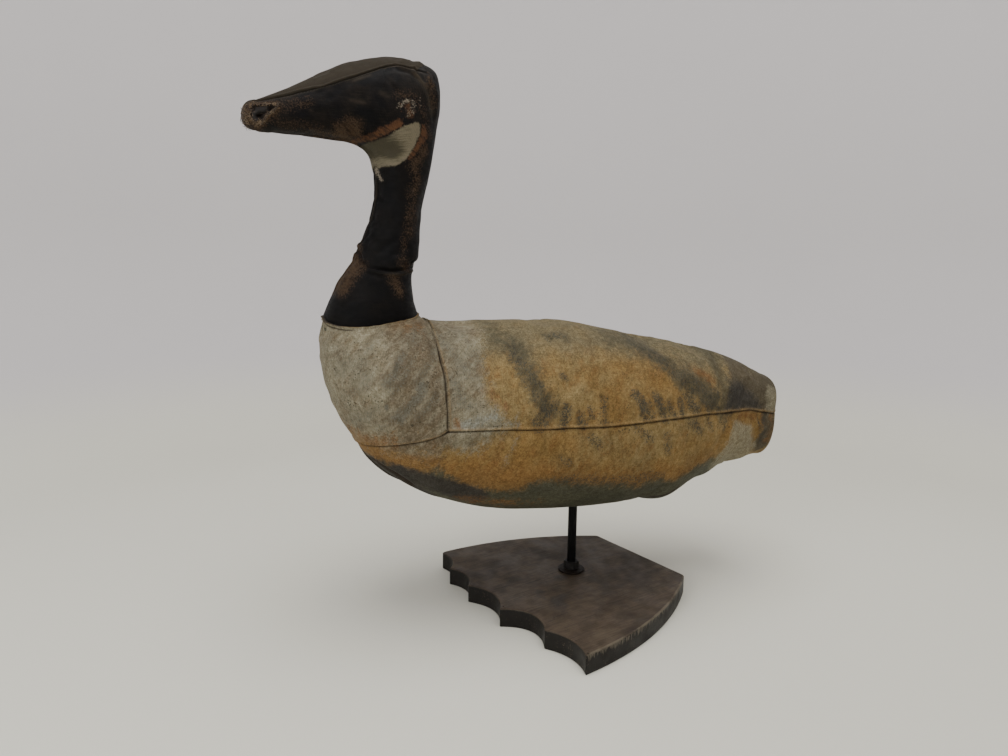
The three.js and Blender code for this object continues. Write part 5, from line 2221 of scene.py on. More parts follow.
@dataclass
class GooseHead:
    """The stuffed canvas head and neck with the torn bill."""

    form: HeadForm = HeadForm()
    seam: Seam = Seam(0.9, 0.9, 0.8, 2.0, 1.2, 0.8, 7)
    front_seam: Seam = Seam(0.8, 0.8, 1.3, 2.4, 1.5, 0.5, 8)
    nape_seam: Seam = Seam(0.6, 0.9, 0.4, 2.2, 1.2, 0.3, 5)
    fold_height: float = 342.0
    puff: Puff = Puff(pressure=2.5, cap=1.6, slack=0.8, growth=0.004)
    fill: float = 0.9
    fray_seed: int = 17
    fray_count: int = 230
    edge_count: int = 26
    tear: Patch = Patch(
        (
            (-315.5, 473), (-298, 474.5), (-296.5, 473), (-302, 468.3), (-306.5, 464.5), (-309, 460.5),
            (-312.5, 459), (-316.5, 460.5), (-318.6, 465), (-318.2, 469.5),
        ),
        2.0,
    )
    folds: Path = ((-226, 358), (-222, 348), (-216, 343), (-204, 341), (-190, 341), (-176, 344.5))
    # Painted highlights on the ridges of folds at the back and side of the head.
    fold_highlights: tuple[Path, ...] = (
        ((-196, 519), (-188, 516.5), (-178, 518)), ((-182, 514), (-176, 511), (-171.5, 505)),
        ((-236, 500), (-222, 506)), ((-240, 483), (-228, 482)), ((-214, 492), (-206, 489)),
    )
    tear_edge: Path = ((-297, 474), (-303, 468), (-308, 462), (-313, 457))
    # A band of painted shade across the cheek.
    cheek_shade_band: Path = ((-224, 449), (-210, 449), (-199, 446))
    lower_edge: Path = ((-297, 474), (-298, 471.5), (-302, 468), (-307, 463.5), (-309, 460), (-313, 457))
    tear_depth: float = 5.5
    rim: float = 1.0
    tear_form: Stroke = Stroke(((-314, 460.5), (-315.8, 465), (-312.5, 469.6), (-306, 471)), 4.0, 4.2, 4.2)
    fine: Grid = Grid(
        (
            (-2, -1, 5, 0), (-1, 0, 6, 0), (0, 0.88, 196, 0), (0.88, 1, 56, 0), (1, 1.5, 16, 0),
            (1.5, 1.97, 10, 0),
        ),
        ((-2, -1, 64, 0.5), (-1, 0, 40, 0.5), (0, 1, 40, 0.5), (1, 2, 64, 0.5)),
    )
    coarse: Grid = Grid(
        ((-2, -1, 2, 0), (-1, 0, 2, 0), (0, 0.88, 46, 0), (0.88, 1, 8, 0), (1, 1.5, 3, 0), (1.5, 1.97, 3, 0)),
        ((-2, 2, 40, 0),),
    )
    creases: Marks = strokes(
        (2.6, 3.2, -1.5, (-207, 514), (-206, 503), (-199, 494)), (3, 4, 0.8, (-211, 512), (-210, 501)),
        (2.2, 3, -0.8, (-203, 513), (-201, 505)),
        (2.4, 3, 0.9, (-197, 518), (-187, 517), (-178, 514), (-172, 506)),
        (3, 4, -0.9, (-195, 514), (-184, 513), (-176, 507)),
        (2.5, 3, -1.6, (-174, 528), (-177, 516), (-172, 508)),
        (4, 6, 0.9, (-168, 520), (-163, 508), (-158, 495)),
        (4, 5, -0.9, (-172, 505), (-164, 492), (-161, 478)),
        (2.2, 2.4, -2.5, (-225, 360), (-224, 349), (-219, 344), (-211, 342), (-198, 340.5), (-188, 341.5),
         (-176, 344)), (9, 14, 1.1, (-226, 366), (-219, 352), (-206, 350), (-190, 350), (-178, 352)),
        (2.2, 3, 1.4, (-216, 340), (-206, 338), (-196, 337), (-186, 338.5), (-176, 341)),
        (2.4, 3, -0.9, (-224, 340), (-215, 336), (-208, 334)), (3.5, 4.5, 1.4, (-229, 352), (-222, 362)),
        (9, 10, -0.7, (-193, 452), (-184, 440)), (6, 8, 2.2, (-309, 453), (-304, 452)),
        (7, 9, 0.6, (-300, 458), (-262, 456), (-236, 452)),
        (3.5, 4, 1.2, (-168, 528), (-176, 522), (-182, 514)),
        (3, 4, -1.1, (-160, 512), (-166, 500), (-165, 486)), (5, 7, 0.9, (-156, 498), (-158, 480)),
        (3, 4, 0.9, (-185, 527), (-190, 523), (-197, 521)), (8, 10, -0.6, (-280, 470), (-250, 474)),
    ) + strokes(
        (22, 20, 2.3, (-208, 428), (-211, 410), (-214, 392), (-219, 374)),
        (4, 6, -0.7, (-214, 430), (-190, 430)), (5, 8, -0.5, (-212, 408), (-186, 402)),
        (4, 7, -0.5, (-210, 384), (-192, 378)), side=Side.BOTH,
    ) + strokes(
        (2.8, 3.6, -1.8, (-222, 343), (-200, 341), (-178, 344)),
        (9, 14, 1.0, (-220, 352), (-196, 350), (-180, 352)), (3, 4, -1.0, (-202, 512), (-194, 500)),
        side=Side.RIGHT,
    )
    olive: Marks = patch(
        3, 1.0, Side.BOTH, (-326, 470), (-311, 477), (-288, 483), (-268, 489.5), (-240, 500),
        (-208, 514.5), (-195, 518), (-180, 515), (-160, 530), (-200, 560), (-330, 520),
    ) + strokes(
        (9, 10, 0.6, (-178, 512), (-168, 498), (-164, 482)),
    )
    brown: Marks = patch(
        9, 0.9, Side.LEFT, (-252, 464), (-239, 470), (-227, 467), (-228, 456), (-238, 450), (-250, 455),
    ) + strokes(
        (6, 6, 0.6, (-244, 451), (-232, 448)), (6, 8, 0.36, (-300, 463), (-284, 461), (-262, 459)),
        (8, 10, 0.36, (-292, 474), (-274, 478)), (6, 6, 0.36, (-262, 457), (-246, 454)),
        (8, 10, 0.62, (-182, 436), (-176, 424), (-180, 410)), (6, 9, 0.45, (-184, 400), (-186, 384)),
        (5, 8, 0.45, (-190, 370), (-189, 352)), (9, 9, 0.75, (-170, 450), (-178, 438)),
        (14, 12, 1.0, (-230, 346), (-236, 336), (-243, 326)),
        (9, 12, 0.45, (-182, 412), (-180, 396), (-184, 376)), (8, 9, 0.55, (-190, 350), (-184, 344)),
        (8, 9, 0.7, (-224, 346), (-229, 338)), (8, 10, 0.75, (-197, 333), (-190, 322)),
        (5, 5, 0.85, (-228, 352), (-224, 362)), (7, 9, 0.4, (-198, 492), (-184, 494), (-174, 482)),
        (6, 9, 0.55, (-166, 512), (-162, 490)), (6, 9, 0.45, (-172, 478), (-166, 462)),
    ) + strokes(
        (8, 12, 0.5, (-190, 430), (-186, 380)), (10, 10, 0.6, (-256, 462), (-232, 464)), side=Side.RIGHT,
    )
    rust: Marks = strokes(
        (6, 5, 0.62, (-232, 451), (-224, 455), (-212, 460)),
        (6.5, 5, 0.9, (-218, 457), (-208, 462), (-196, 469)), (5, 5, 0.5, (-230, 447), (-226, 450)),
        (7, 5, 0.85, (-173, 467), (-171, 461), (-178, 451), (-186, 442)),
        (4, 4, 0.6, (-176, 462), (-183, 450)),
    ) + strokes(
        (7, 5, 0.7, (-228, 452), (-206, 463), (-196, 470)), side=Side.RIGHT,
    )
    cheek: Marks = patch(
        4.5, 1.0, Side.BOTH, (-226, 450), (-218, 453), (-205, 458.5), (-191, 467.5), (-180, 472),
        (-177, 470), (-176.5, 462), (-183, 449), (-190, 439), (-196, 434.5), (-206, 433), (-210, 437),
        (-215, 445),
    )
    white: Marks = strokes(
        (0.9, 1.5, 0.95, (-207, 433), (-205.5, 428), (-203.5, 421)),
        (0.7, 1.3, 0.8, (-209, 436), (-208, 429)),
        (2.0, 2.2, 0.52, (-196, 482), (-194, 486), (-190, 488), (-185, 488), (-182, 485)),
        (2.0, 2.4, 0.4, (-190, 481), (-185, 482)), (2.6, 3.0, 0.42, (-189, 476), (-184, 479)),
        (1.4, 2.0, 0.4, (-178, 491), (-176, 486)), (1.4, 2.0, 0.4, (-200, 480), (-197, 485)),
    ) + strokes(
        (2.0, 2.0, 0.6, (-193, 487), (-187, 488.5), (-183, 485)), side=Side.RIGHT,
    )
    eye_rust: Marks = strokes(
        (8, 7, 0.62, (-189, 482), (-186, 477)), (2.4, 3, 0.5, (-196, 486), (-195, 479), (-190, 475)),
        (2.4, 3, 0.4, (-182, 487), (-179, 482)),
    ) + strokes(
        (5, 4, 0.7, (-189, 484), (-185, 481)), side=Side.RIGHT,
    )

    def build(self, hand: Hand, finish: Material, fray: Material) -> Piece:
        """Builds the head and neck with stitches and frayed threads.

        Args:
            hand: The trees for stitches and threads.
            finish: Black canvas.
            fray: Finish of the frayed threads.

        Returns:
            The head's skin.
        """
        skin = self.fine.skin(self.form)
        skin = Skin(skin.rows, skin.columns, skin.points + self._stuffed(skin))
        place = skin.points.copy()
        skin.raise_by(self._relief(skin, place))
        self._tear(skin, place)
        masks = self._masks(skin, place)
        skin.points = self.form.turned(skin.points, skin.rows)
        piece = skin.mesh("head_canvas", masks)
        dress(piece, finish, "goose_head_and_neck")
        self._sew(skin, masks, hand, finish)
        self._fray(skin, place, hand, fray)
        return piece

    def _stuffed(self, fine: Skin) -> Array:
        """Movement of the fine skin when the canvas is stuffed.

        Args:
            fine: The fine skin, which isn't changed.

        Returns:
            How far each point moves, in millimetres.
        """
        coarse = self.coarse.skin(self.form)
        r, w = coarse.rows[:, None], np.abs(coarse.columns)[None, :]
        pins = np.maximum(1 - smoothstep(0.06, 0.14, r), smoothstep(0.84, 0.93, r)) + 0 * w
        pins = np.maximum(pins, 0.8 * bell(w - 1, 0.06) * smoothstep(0.6, 0.7, r))
        pins = np.maximum(pins, 0.6 * bell(w - 2, 0.06) + 0 * r)
        pins = np.maximum(pins, 0.7 * bell(coarse.points[..., 2] - self.fold_height, 4))
        return spread(self.puff.move(coarse, np.clip(pins, 0, 1)), coarse, fine)

    def _seam_distance(self, skin: Skin) -> Array:
        """Signed distance from the gusset's seams, positive towards the crown."""
        return np.where(skin.columns < 0, skin.past_column(-1), -skin.past_column(1))

    def _relief(self, skin: Skin, place: Array) -> Array:
        """Height of seams, folds and lumps, in millimetres.

        Args:
            skin: The skin.
            place: Points in millimetres.

        Returns:
            The height at each point.
        """
        r, w = skin.rows[:, None], np.abs(skin.columns)[None, :]
        outside = smoothstep(0.0, 0.06, r)
        body = outside * (1 - smoothstep(1.2, 1.6, r))
        height = 0.9 * noise(place, (30, 26, 34), 5, 2) + 0.35 * noise(place, 9, 9, 2)
        height = height * smoothstep(0.0, 0.1, r) * (1 - 0.5 * smoothstep(0.9, 1.0, r))
        height += creased(place, self.creases)
        gusset = smoothstep(0.66, 0.7, r) * (1 - smoothstep(1.0, 1.2, r))
        height += self.seam.height(self._seam_distance(skin)) * gusset
        front = skin.past_column(-2)
        double = self.front_seam.height(front) + 0.8 * bell(front + 1.8, 1.1)
        height += double * body * (1 - 0.6 * smoothstep(0.62, 0.75, r))
        height += self.nape_seam.height(skin.past_column(0)) * outside * (1 - smoothstep(0.6, 0.68, r))
        back = noise(place, (22, 22, 9), 61) * smoothstep(0.5, 0.62, r) * (1 - smoothstep(0.74, 0.8, r))
        height += 0.9 * back * bell(w, 0.7)
        return height * outside * (1 - smoothstep(1.6, 1.85, r))

    def _torn(self, place: Array) -> Array:
        """How far points lie inside the tear, in millimetres, below 0 outside it.

        Args:
            place: Points in millimetres.

        Returns:
            The depth of each point.
        """
        depth = self.tear.depth(place) + 0.9 * noise(place, 4.0, 71, 2)
        return np.where(place[..., 1] < 4, depth - self.rim, -30.0)

    def _tear(self, skin: Skin, place: Array) -> None:
        """Opens the torn hole at the bill's tip, with its inner form and ragged rim.

        Args:
            skin: The skin.
            place: Points in millimetres.
        """
        depth = self._torn(place)
        hollow = smoothstep(-0.2, 2.4, depth)
        lip = bell(depth + 1.0, 0.9) * (0.8 + 1.0 * noise(place, 2.6, 73, 2))
        fade = 1 - smoothstep(1.6, 1.85, skin.rows[:, None])
        skin.raise_by(-self.tear_depth * hollow + self.tear_form.mask(place) * hollow + lip * fade)

    def _masks(self, skin: Skin, place: Array) -> dict[str, Array]:
        """Paint masks and seam masks of the skin.

        Args:
            skin: The skin.
            place: Points in millimetres.

        Returns:
            The masks by name.
        """
        r, w = skin.rows[:, None], np.abs(skin.columns)[None, :]
        x, y, z = np.moveaxis(place, -1, 0)
        masks = {"brown": painted(place, self.brown, 1.3, 160), "cheek": painted(place, self.cheek, 1.3, 163)}
        masks["olive"] = painted(place, self.olive, 0.0, 1)
        masks["white"] = painted(place, self.white, 0.7, 171)
        rust = painted(place, self.rust, 1.4, 177)
        masks["rust"] = np.maximum(rust, painted(place, self.eye_rust, 1.2, 180)) * (1 - masks["cheek"])
        depth = self._torn(place)
        tip = smoothstep(1.05, 1.45, r) * smoothstep(483, 470, z)
        spotty = np.clip(0.5 + 1.1 * noise(place, 3.0, 77, 2), 0, 1)
        beneath = 0.35 + 0.65 * smoothstep(475, 470, z)
        edge = path_distance(x, z, self.tear_edge)
        raw = bell(depth + 0.8, 1.1) * bell(edge, 4.5) * (0.35 + 0.65 * spotty)
        raw = raw + 0.4 * bell(depth + 1.2, 1.3) * spotty * beneath
        raw = raw + 0.45 * tip * spotty
        masks["raw"] = np.clip(raw, 0, 1) * (1 - smoothstep(-0.3, 0.6, depth))
        masks["brown"] = np.maximum(masks["brown"], 0.8 * bell(depth + 2.6, 2.6))
        masks["hollow"] = smoothstep(-0.3, 0.6, depth)
        # Painted highlight along the rounded form inside the tear.
        risen = self.tear_form.mask(place) / self.tear_form.strength
        masks["crescent"] = np.clip(risen, 0, 1) * masks["hollow"]
        # The cheek's tone is painted light: lighter towards the back and below, darker along a band of
        # painted shade.
        streak = bell(path_distance(x, z, self.cheek_shade_band), 8)
        low = 0.3 * smoothstep(447, 438, z)
        masks["cheek_light"] = np.clip(0.70 + (x + 190) / 90 - 0.75 * streak + low, 0, 1)
        gusset = smoothstep(0.66, 0.7, r) * (1 - smoothstep(1.3, 1.5, r))
        seam = self._seam_distance(skin)
        front = skin.past_column(-2)
        line = bell(seam, 0.7) * gusset
        line = np.maximum(line, 0.8 * bell(front, 0.7) * (r > 0))
        line = np.maximum(line, 0.5 * bell(skin.past_column(0), 0.7) * (r > 0) * (r < 0.66))
        # Painted shadow in the crease of the fold at the neck's foot.
        crease = path_distance(x, z, self.folds)
        line = np.maximum(line, 0.9 * bell(crease, 1.5) * (x < -188) * (r < 0.6))
        masks["seam_line"] = line
        ridge = np.maximum(bell(seam + 1.6, 0.9) * gusset, 0.9 * bell(front - 2.4, 1.2) * (r > 0))
        below = path_distance(x, z + 4.2, self.folds)
        ridge = np.maximum(ridge, 0.8 * bell(below, 1.2) * (x > -206) * (r < 0.6))
        # Painted highlights on fold ridges, laid with the rubbed seam ridges.
        for path in self.fold_highlights:
            pale = bell(path_distance(x, z, path), 1.5) * (y < -8)
            ridge = np.maximum(ridge, 1.2 * pale)
        masks["seam_ridge"] = np.clip(ridge * (0.75 + 0.5 * noise(place, 7, 91)), 0, 1)
        lift = ((skin.points - place) * skin.normals()).sum(axis=-1)
        handled = smoothstep(-0.4, 0.6, noise(place, 24, 95, 2))
        wear = smoothstep(0.3, 1.6, lift) * 0.3 + 0.3 * bell(w, 0.5) + 0.3 * handled
        masks["wear"] = np.clip(wear * (0.45 + 0.55 * smoothstep(0.55, 0.7, r)), 0, 1)
        masks["flaky"] = 0.25 + 0.45 * masks["brown"] + 0.2 * masks["cheek"]
        masks["neck"] = (1 - smoothstep(0.5, 0.66, r)) + 0 * w
        return masks

    def _sew(self, skin: Skin, masks: Mapping[str, Array], hand: Hand, finish: Material) -> None:
        """Sews the head's seams.

        Args:
            skin: The skin.
            masks: The skin's masks by name.
            hand: The trees for stitches and threads.
            finish: The canvas's finish.
        """
        run = np.linspace(0, 1, 120)
        paths = [np.stack([0.7 + 0.3 * run, np.full(120, side * 1.03)], axis=1) for side in (-1, 1)]
        paths.append(np.stack([0.04 + 0.56 * run, np.full(120, -1.93)], axis=1))
        shared = {key: masks[key] for key in ("olive", "brown", "raw", "wear", "cheek", "rust")}
        sizes = {"Pitch": 0.0027, "Length": 0.002, "Radius": 0.00026, "Slant": 0.35}
        sew("head_stitches", skin, paths, shared, hand, finish, Slot.BLACK_CANVAS, 0.05, **sizes)

    def _fray(self, skin: Skin, place: Array, hand: Hand, fray: Material) -> None:
        """Adds frayed threads round the tear and on the bill's tip.

        Args:
            skin: The skin.
            place: Points in millimetres.
            hand: The trees for stitches and threads.
            fray: Finish of the threads.
        """
        rng = np.random.default_rng(self.fray_seed)
        depth = self._torn(place)
        tip = (skin.rows[:, None] > 1.15) & (skin.rows[:, None] < 1.55) & (place[..., 2] < 474)
        ring = (np.abs(depth + 0.8) < 0.9) | (tip & (depth < 0))
        spots = np.argwhere(ring)
        normals = skin.normals()
        room = np.linalg.norm(np.roll(skin.points, -1, axis=1) - skin.points, axis=-1)[ring] ** 2
        chains = []
        for i, j in spots[rng.choice(len(spots), self.fray_count, replace=False, p=room / room.sum())]:
            normal = normals[i, j]
            start = skin.points[i, j] - 0.3 * normal
            side = np.cross(normal, rng.normal(size=3))
            side /= np.linalg.norm(side)
            length = rng.uniform(1.2, 4.2)
            lift = rng.uniform(0.1, 0.9)
            t = np.linspace(0, 1, 7)[:, None]
            curl = np.cross(side, normal) * rng.uniform(-1, 1)
            chains.append(start + length * (side * t + normal * lift * t * (1.3 - t) + curl * t * t * 0.7))
        chains += self._edge_threads(skin, place, rng)
        chain = chain_mesh("bill_threads", chains, {})
        dress(hand.threads.grow("bill_threads", chain, fray, Radius=0.00015))

    def _edge_threads(self, skin: Skin, place: Array, rng: np.random.Generator) -> list[Array]:
        """Longer pale threads along the tear's lower edge.

        Args:
            skin: The skin.
            place: Points in millimetres.
            rng: Source of the random numbers.

        Returns:
            The points of each thread.
        """
        chains = []
        path = np.array(self.lower_edge)
        left = place[..., 1] < 2
        for _ in range(self.edge_count):
            start = rng.uniform(0, 3.4)
            steps = start + np.linspace(0, rng.uniform(0.8, 1.6), 7)
            x = np.interp(steps, range(len(path)), path[:, 0]) + rng.uniform(-0.7, 0.7)
            z = np.interp(steps, range(len(path)), path[:, 1]) + rng.uniform(-0.7, 0.7)
            chain = []
            for ahead, above in zip(x, z):
                miss = np.hypot(place[..., 0] - ahead, place[..., 2] - above) + 50 * ~left
                i, j = np.unravel_index(np.argmin(miss), miss.shape)
                out = -0.9 - 0.7 * rng.random()
                chain.append(skin.points[i, j] + [ahead - place[i, j, 0], out, above - place[i, j, 2]])
            chains.append(np.array(chain))
        return chains


# The stand

Loop = Sequence[bmesh.types.BMVert]


@dataclass
class Stand:
    """The board cut like a webbed foot, with rod, nut and washer."""

    thickness: float = 19.0
    reach: float = 116.6
    width: float = 260.5
    turn_deg: float = 17.2
    heel_behind: float = 93.6
    heel_width: float = 138.0
    off_centre: float = 9.5
    side_bulge: float = 16.0
    toes: tuple[tuple[float, float, float], ...] = (
        (0.821, -0.497, 0.069), (0.935, -0.33, 0.077), (0.982, -0.15, 0.103), (1, 0.083, 0.124),
        (0.907, 0.298, 0.065), (0.883, 0.503, 0),
    )
    toe_rounding: float = 7.0
    hole_radius: float = 5.05
    hole_depth: float = 12.0
    rounding: float = 1.3
    bevel: float = 0.35
    arc_steps: tuple[int, int, int] = (46, 24, 30)
    hole_steps: int = 32
    handled_towards: tuple[float, float] = (0.85, -0.53)

    def outline(self) -> Array:
        """The board's outline from above, turned to its place.

        Returns:
            Points of the outline, in order.
        """
        toes = [np.array([self.reach * r, self.width * a + self.off_centre]) for r, a, _ in self.toes]
        half = self.heel_width / 2
        heel = [np.array([-self.heel_behind, side * half + self.off_centre]) for side in (1, -1)]
        flank, between, back = self.arc_steps
        parts = [self._arc(heel[1], toes[0], self.side_bulge, flank)]
        for i, (_, _, bite) in enumerate(self.toes[:-1]):
            parts.append(self._arc(toes[i], toes[i + 1], -self.reach * bite, between))
        parts.append(self._arc(toes[-1], heel[0], self.side_bulge, flank))
        parts.append(self._arc(heel[0], heel[1], 0.0, back))
        line = self._round(np.concatenate(parts), toes[0], self.toe_rounding)
        blunt = [(toes[-1], 1.5), (heel[0], 3.0), (heel[1], 3.0)]
        for corner, radius in blunt + [(toe, 0.7) for toe in toes[1:-1]]:
            line = self._round(line, corner, radius)
        angle = math.pi + math.radians(self.turn_deg)
        turn = np.array([[math.cos(angle), math.sin(angle)], [-math.sin(angle), math.cos(angle)]])
        return line @ turn

    @staticmethod
    def _arc(start: Array, end: Array, bulge: float, steps: int) -> Array:
        """Points of a shallow arc, without its end.

        Args:
            start: Its first point.
            end: The point that it leads up to.
            bulge: How far it swings out to the right, in millimetres.
            steps: How many points.

        Returns:
            The points.
        """
        chord = end - start
        side = np.array([chord[1], -chord[0]]) / np.linalg.norm(chord)
        t = (np.arange(steps) / steps)[:, None]
        return start + chord * t + side * 4 * bulge * t * (1 - t)

    @staticmethod
    def _round(line: Array, corner: Array, radius: float) -> Array:
        """Replaces a corner by a quadratic round.

        Args:
            line: Points of the outline, seen from above.
            corner: Place of the corner.
            radius: How far from the corner the round starts.

        Returns:
            The outline with the round, which comes first.
        """
        away = np.linalg.norm(line - corner, axis=1)
        at = int(np.argmin(away))
        line = np.roll(line, -at, axis=0)
        away = np.roll(away, -at)
        first = int(np.argmax(away > radius))
        last = len(line) - 1 - int(np.argmax(away[::-1] > radius))
        middle = line[0]
        legs = (line[last] - middle, line[first] - middle)
        near_start, near_end = (middle + leg * radius / np.linalg.norm(leg) for leg in legs)
        t = np.linspace(0, 1, 7)[:, None]
        bend = near_start * (1 - t) ** 2 + middle * 2 * t * (1 - t) + near_end * t**2
        return np.concatenate([bend, line[first : last + 1]])

    def build(self, wood: Material, steel: Material, worn: Material, rusty: Material) -> None:
        """Builds the board and dresses the rod, the nut and the washer.

        Args:
            wood: Finish of the board.
            steel: Finish of the rod.
            worn: Finish of the nut.
            rusty: Finish of the washer.
        """
        self._board(wood)
        LOG.info("built foot_board")
        for name, node, finish in (("hex_nut", "rod_nut", worn), ("flat_washer", "rod_washer", rusty)):
            self._refined(name, node, finish)
            LOG.info("built %s", name)
        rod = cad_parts["stand_rod"]
        rod.data.materials.clear()
        rod.data.materials.append(steel)

    @staticmethod
    def _outward(line: Array) -> Array:
        """Unit normals of an outline that point out of it.

        Args:
            line: Points of the outline, seen from above.

        Returns:
            One normal for each point.
        """
        ahead, behind = np.roll(line, -1, axis=0) - line, line - np.roll(line, 1, axis=0)
        ahead /= np.linalg.norm(ahead, axis=1, keepdims=True)
        behind /= np.linalg.norm(behind, axis=1, keepdims=True)
        tangent = ahead + behind
        tangent /= np.linalg.norm(tangent, axis=1, keepdims=True)
        area = (line[:, 0] * np.roll(line[:, 1], -1) - line[:, 1] * np.roll(line[:, 0], -1)).sum()
        return np.stack([tangent[:, 1], -tangent[:, 0]], axis=1) * np.sign(area)

    @staticmethod
    def _join(mesh: bmesh.types.BMesh, low: Loop, high: Loop) -> None:
        """Joins two loops by a band of faces.

        Args:
            mesh: The mesh being built.
            low: One loop.
            high: The other, with as many vertices.
        """
        for i, j, n, m in zip(low, high, (*low[1:], low[0]), (*high[1:], high[0])):
            mesh.faces.new((i, n, m, j)).smooth = True

    @staticmethod
    def _rim(mesh: bmesh.types.BMesh, loop: Loop) -> list[bmesh.types.BMEdge]:
        """Edges of a loop."""
        return [mesh.edges.get(ends) for ends in zip(loop, (*loop[1:], loop[0]))]

    def _rings(self) -> list[tuple[float, float, float, float]]:
        """Inset, height, rubbing and darkness of each ring of the board, from below to the top.

        Returns:
            The rings.
        """
        r, top = self.rounding, self.thickness
        rings = [(1.0, 0.0, 0.0, 1.0), (0.35, 0.35, 0.3, 1.0), (0.0, 1.0, 0.0, 1.0)]
        rings += [(0.0, float(z), 0.0, 1.0) for z in np.linspace(3, top - 4.5, 5)]
        rings += [(0.0, top - 2.6, 0.35, 1.0), (0.0, top - r, 0.85, 0.95)]
        for a in (0.4, 0.8, 1.2):
            rings.append((r * (1 - math.cos(a)), top - r + r * math.sin(a), 1.0, 0.6 - 0.55 * a))
        return rings + [(r, top, 0.95, 0.0), (r + 0.8, top, 0.5, 0.0), (r + 2.2, top, 0.12, 0.0)]

    def _board(self, wood: Material) -> None:
        """Builds the board as one closed mesh, with masks for its walls and rubbed edges.

        Args:
            wood: Finish of the board.
        """
        line, top = self.outline(), self.thickness
        outward = self._outward(line)
        mesh = bmesh.new()
        edge, wall, scuff = (mesh.verts.layers.float.new(name) for name in ("edge", "wall", "scuff"))
        loops = []
        handled = 0.3 + 0.7 * smoothstep(-0.2, 0.6, outward @ np.array(self.handled_towards))
        for inset, z, most, dark in self._rings():
            place = line - outward * inset
            loop = []
            for (x, y), share in zip(place, handled):
                rubbed = most * share
                worn = 0.25 * float(noise(np.array([x, y, z]), 9, 13, 2)) * rubbed
                vertex = mesh.verts.new((x * MM, y * MM, (z - max(worn, 0) * (z > top - 2)) * MM))
                vertex[edge], vertex[wall] = rubbed, dark
                vertex[scuff] = max(0.0, float(share) - 0.3) * 1.4 * min(z / top, 1.0) * dark
                loop.append(vertex)
            loops.append(loop)
        for low, high in zip(loops[:-1], loops[1:]):
            self._join(mesh, low, high)
        angles = np.linspace(0, 2 * np.pi, self.hole_steps, endpoint=False)
        circle = np.stack([np.cos(angles), np.sin(angles)], axis=1) * self.hole_radius
        levels = (top, top - self.hole_depth)
        hole = [[mesh.verts.new((x * MM, y * MM, z * MM)) for x, y in circle] for z in levels]
        self._join(mesh, *hole)
        mesh.faces.new(hole[1])
        for border in (self._rim(mesh, loops[-1]) + self._rim(mesh, hole[0]), self._rim(mesh, loops[0])):
            bmesh.ops.triangle_fill(mesh, edges=border, use_beauty=True)
        bmesh.ops.recalc_face_normals(mesh, faces=mesh.faces)
        data = bpy.data.meshes.new("foot_board")
        mesh.to_mesh(data)
        mesh.free()
        dress(linked("foot_board", data), wood, "stand_base")

    def _refined(self, name: str, node: str, finish: Material) -> None:
        """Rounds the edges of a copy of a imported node, which the copy stands for.

        Args:
            name: Name of the piece.
            node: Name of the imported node.
            finish: The piece's material.
        """
        mesh = bmesh.new()
        mesh.from_mesh(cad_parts[node].data)
        bmesh.ops.remove_doubles(mesh, verts=mesh.verts, dist=1e-6)
        bmesh.ops.dissolve_limit(
            mesh, angle_limit=math.radians(1.5), verts=mesh.verts, edges=mesh.edges, delimit={"NORMAL"}
        )
        sharp = [e for e in mesh.edges if e.is_manifold and e.calc_face_angle(0.0) > math.radians(28)]
        shape = {"offset": self.bevel * MM, "segments": 3, "profile": 0.6}
        bmesh.ops.bevel(mesh, geom=sharp, affect="EDGES", clamp_overlap=True, **shape)
        for face in mesh.faces:
            face.smooth = True
        data = bpy.data.meshes.new(name)
        mesh.to_mesh(data)
        mesh.free()
        data.set_sharp_from_angle(angle=math.radians(38))
        dress(linked(name, data), finish, node)


# Studio


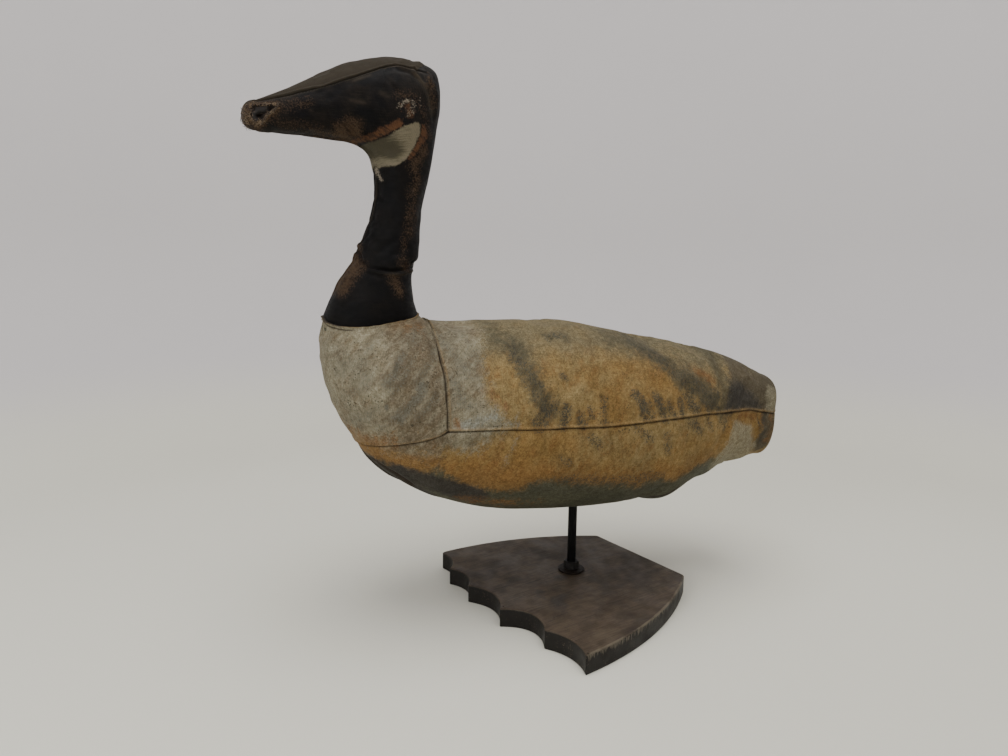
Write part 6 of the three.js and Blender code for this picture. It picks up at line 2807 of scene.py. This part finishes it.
@dataclass
class Studio:
    """Pale floor and wall in one sweep, soft light and the camera."""

    floor_radius: float = 0.80
    fillet: float = 0.45
    height: float = 2.2
    camera_place: tuple[float, float, float] = (-0.29741, -0.66841, 0.34026)
    camera_forward: tuple[float, float, float] = (0.30557, 0.94044, -0.14903)
    camera_right: tuple[float, float, float] = (0.95106, -0.30902, 0.0)
    camera_roll_deg: float = 0.74835
    camera_lens: float = 24.964
    sky: Colour = (0.92, 0.94, 1.0)
    sky_strength: float = 0.42
    turns: int = 96

    def build(self, paper: Material) -> None:
        """Builds the backdrop, the lights and the camera.

        Args:
            paper: Finish of the backdrop.
        """
        self._backdrop(paper)
        self._light("overhead", (-0.05, -0.25, 1.75), (0.0, 0.0, 0.2), 1.5, 22.5, (1.0, 0.975, 0.93))
        self._light("front_fill", (-0.9, -0.6, 0.7), (-0.1, 0.0, 0.25), 0.5, 3.2, (0.97, 0.98, 1.0))
        world = bpy.data.worlds.new("studio")
        world.use_nodes = True
        background = world.node_tree.nodes["Background"].inputs
        background[0].default_value = (*self.sky, 1.0)
        background[1].default_value = self.sky_strength
        bpy.context.scene.world = world
        self._camera()

    def _backdrop(self, paper: Material) -> None:
        """A floor that curves up into a round wall, open at the top.

        Args:
            paper: Finish of the backdrop.
        """
        profile = [(r, 0.0) for r in np.linspace(0.02, self.floor_radius, 14)]
        for a in np.linspace(0, np.pi / 2, 18)[1:]:
            profile.append((self.floor_radius + self.fillet * math.sin(a), self.fillet * (1 - math.cos(a))))
        heights = np.linspace(self.fillet, self.height, 8)[1:]
        profile += [(self.floor_radius + self.fillet, z) for z in heights]
        count = self.turns
        place = [(0.0, 0.0, 0.0)]
        angles = np.linspace(0, 2 * np.pi, count, endpoint=False)
        place += [(r * math.cos(t), r * math.sin(t), z) for r, z in profile for t in angles]
        faces: list[tuple[int, ...]] = [(0, 1 + i, 1 + (i + 1) % count) for i in range(count)]
        for ring in range(len(profile) - 1):
            a, b = 1 + ring * count, 1 + (ring + 1) * count
            faces += [(a + i, b + i, b + (i + 1) % count, a + (i + 1) % count) for i in range(count)]
        piece = new_piece("backdrop", np.array(place), faces)
        piece.data.materials.append(paper)

    @staticmethod
    def _light(
        name: str, place: Sequence[float], aim: Sequence[float], size: float, power: float, colour: Colour
    ) -> None:
        """A soft round light that looks at a point.

        Args:
            name: Name of the light.
            place: Where it hangs, in metres.
            aim: Where it looks.
            size: Its width.
            power: Its power, in watts.
            colour: Its colour.
        """
        light = bpy.data.lights.new(name, "AREA")
        light.shape = "DISK"
        light.size = size
        light.energy = power
        light.color = colour
        holder = linked(name, light)
        holder.location = place
        holder.rotation_euler = (Vector(aim) - Vector(place)).to_track_quat("-Z", "Y").to_euler()

    def _camera(self) -> None:
        """The camera at the photograph's place and angle."""
        forward = Vector(self.camera_forward).normalized()
        flat = Vector(self.camera_right).normalized()
        rise = flat.cross(forward)
        roll = math.radians(self.camera_roll_deg)
        right = flat * math.cos(roll) + rise * math.sin(roll)
        up = -flat * math.sin(roll) + rise * math.cos(roll)
        data = bpy.data.cameras.new("camera")
        data.lens = self.camera_lens
        data.sensor_width = 36.0
        data.clip_start = 0.01
        holder = linked("camera", data)
        turn = Matrix((right, up, -forward)).transposed().to_4x4()
        holder.matrix_world = Matrix.Translation(self.camera_place) @ turn
        bpy.context.scene.camera = holder


def main() -> None:
    """Builds every piece in order."""
    logging.basicConfig(level=logging.INFO, format="%(name)s: %(message)s")
    for make in (make_weave, make_coat, make_speckle, make_mottle):
        make()
    hand = Hand(stitch_tree(), thread_tree())
    fray = BareThread("frayed_thread", (0.190, 0.138, 0.084), (0.030, 0.019, 0.012)).material()
    body = GooseBody().build(hand, PaintedCanvas().material())
    LOG.info("built %s", body.name)
    head = GooseHead().build(hand, BlackCanvas().material(), fray)
    LOG.info("built %s", head.name)
    steel = BlackSteel("black_steel", (0.0016, 0.0016, 0.0018), (0.006, 0.0055, 0.005)).material()
    worn = BlackSteel("worn_steel", (0.014, 0.0132, 0.0124), (0.032, 0.029, 0.025), (0.4, 0.6)).material()
    rusty = BlackSteel("brown_steel", (0.010, 0.0072, 0.0055), (0.026, 0.019, 0.014), (0.5, 0.7)).material()
    Stand().build(StainedWood().material(), steel, worn, rusty)
    Studio().build(StudioPaper().material())
    LOG.info("built the studio")


if __name__ == "__main__":
    main()
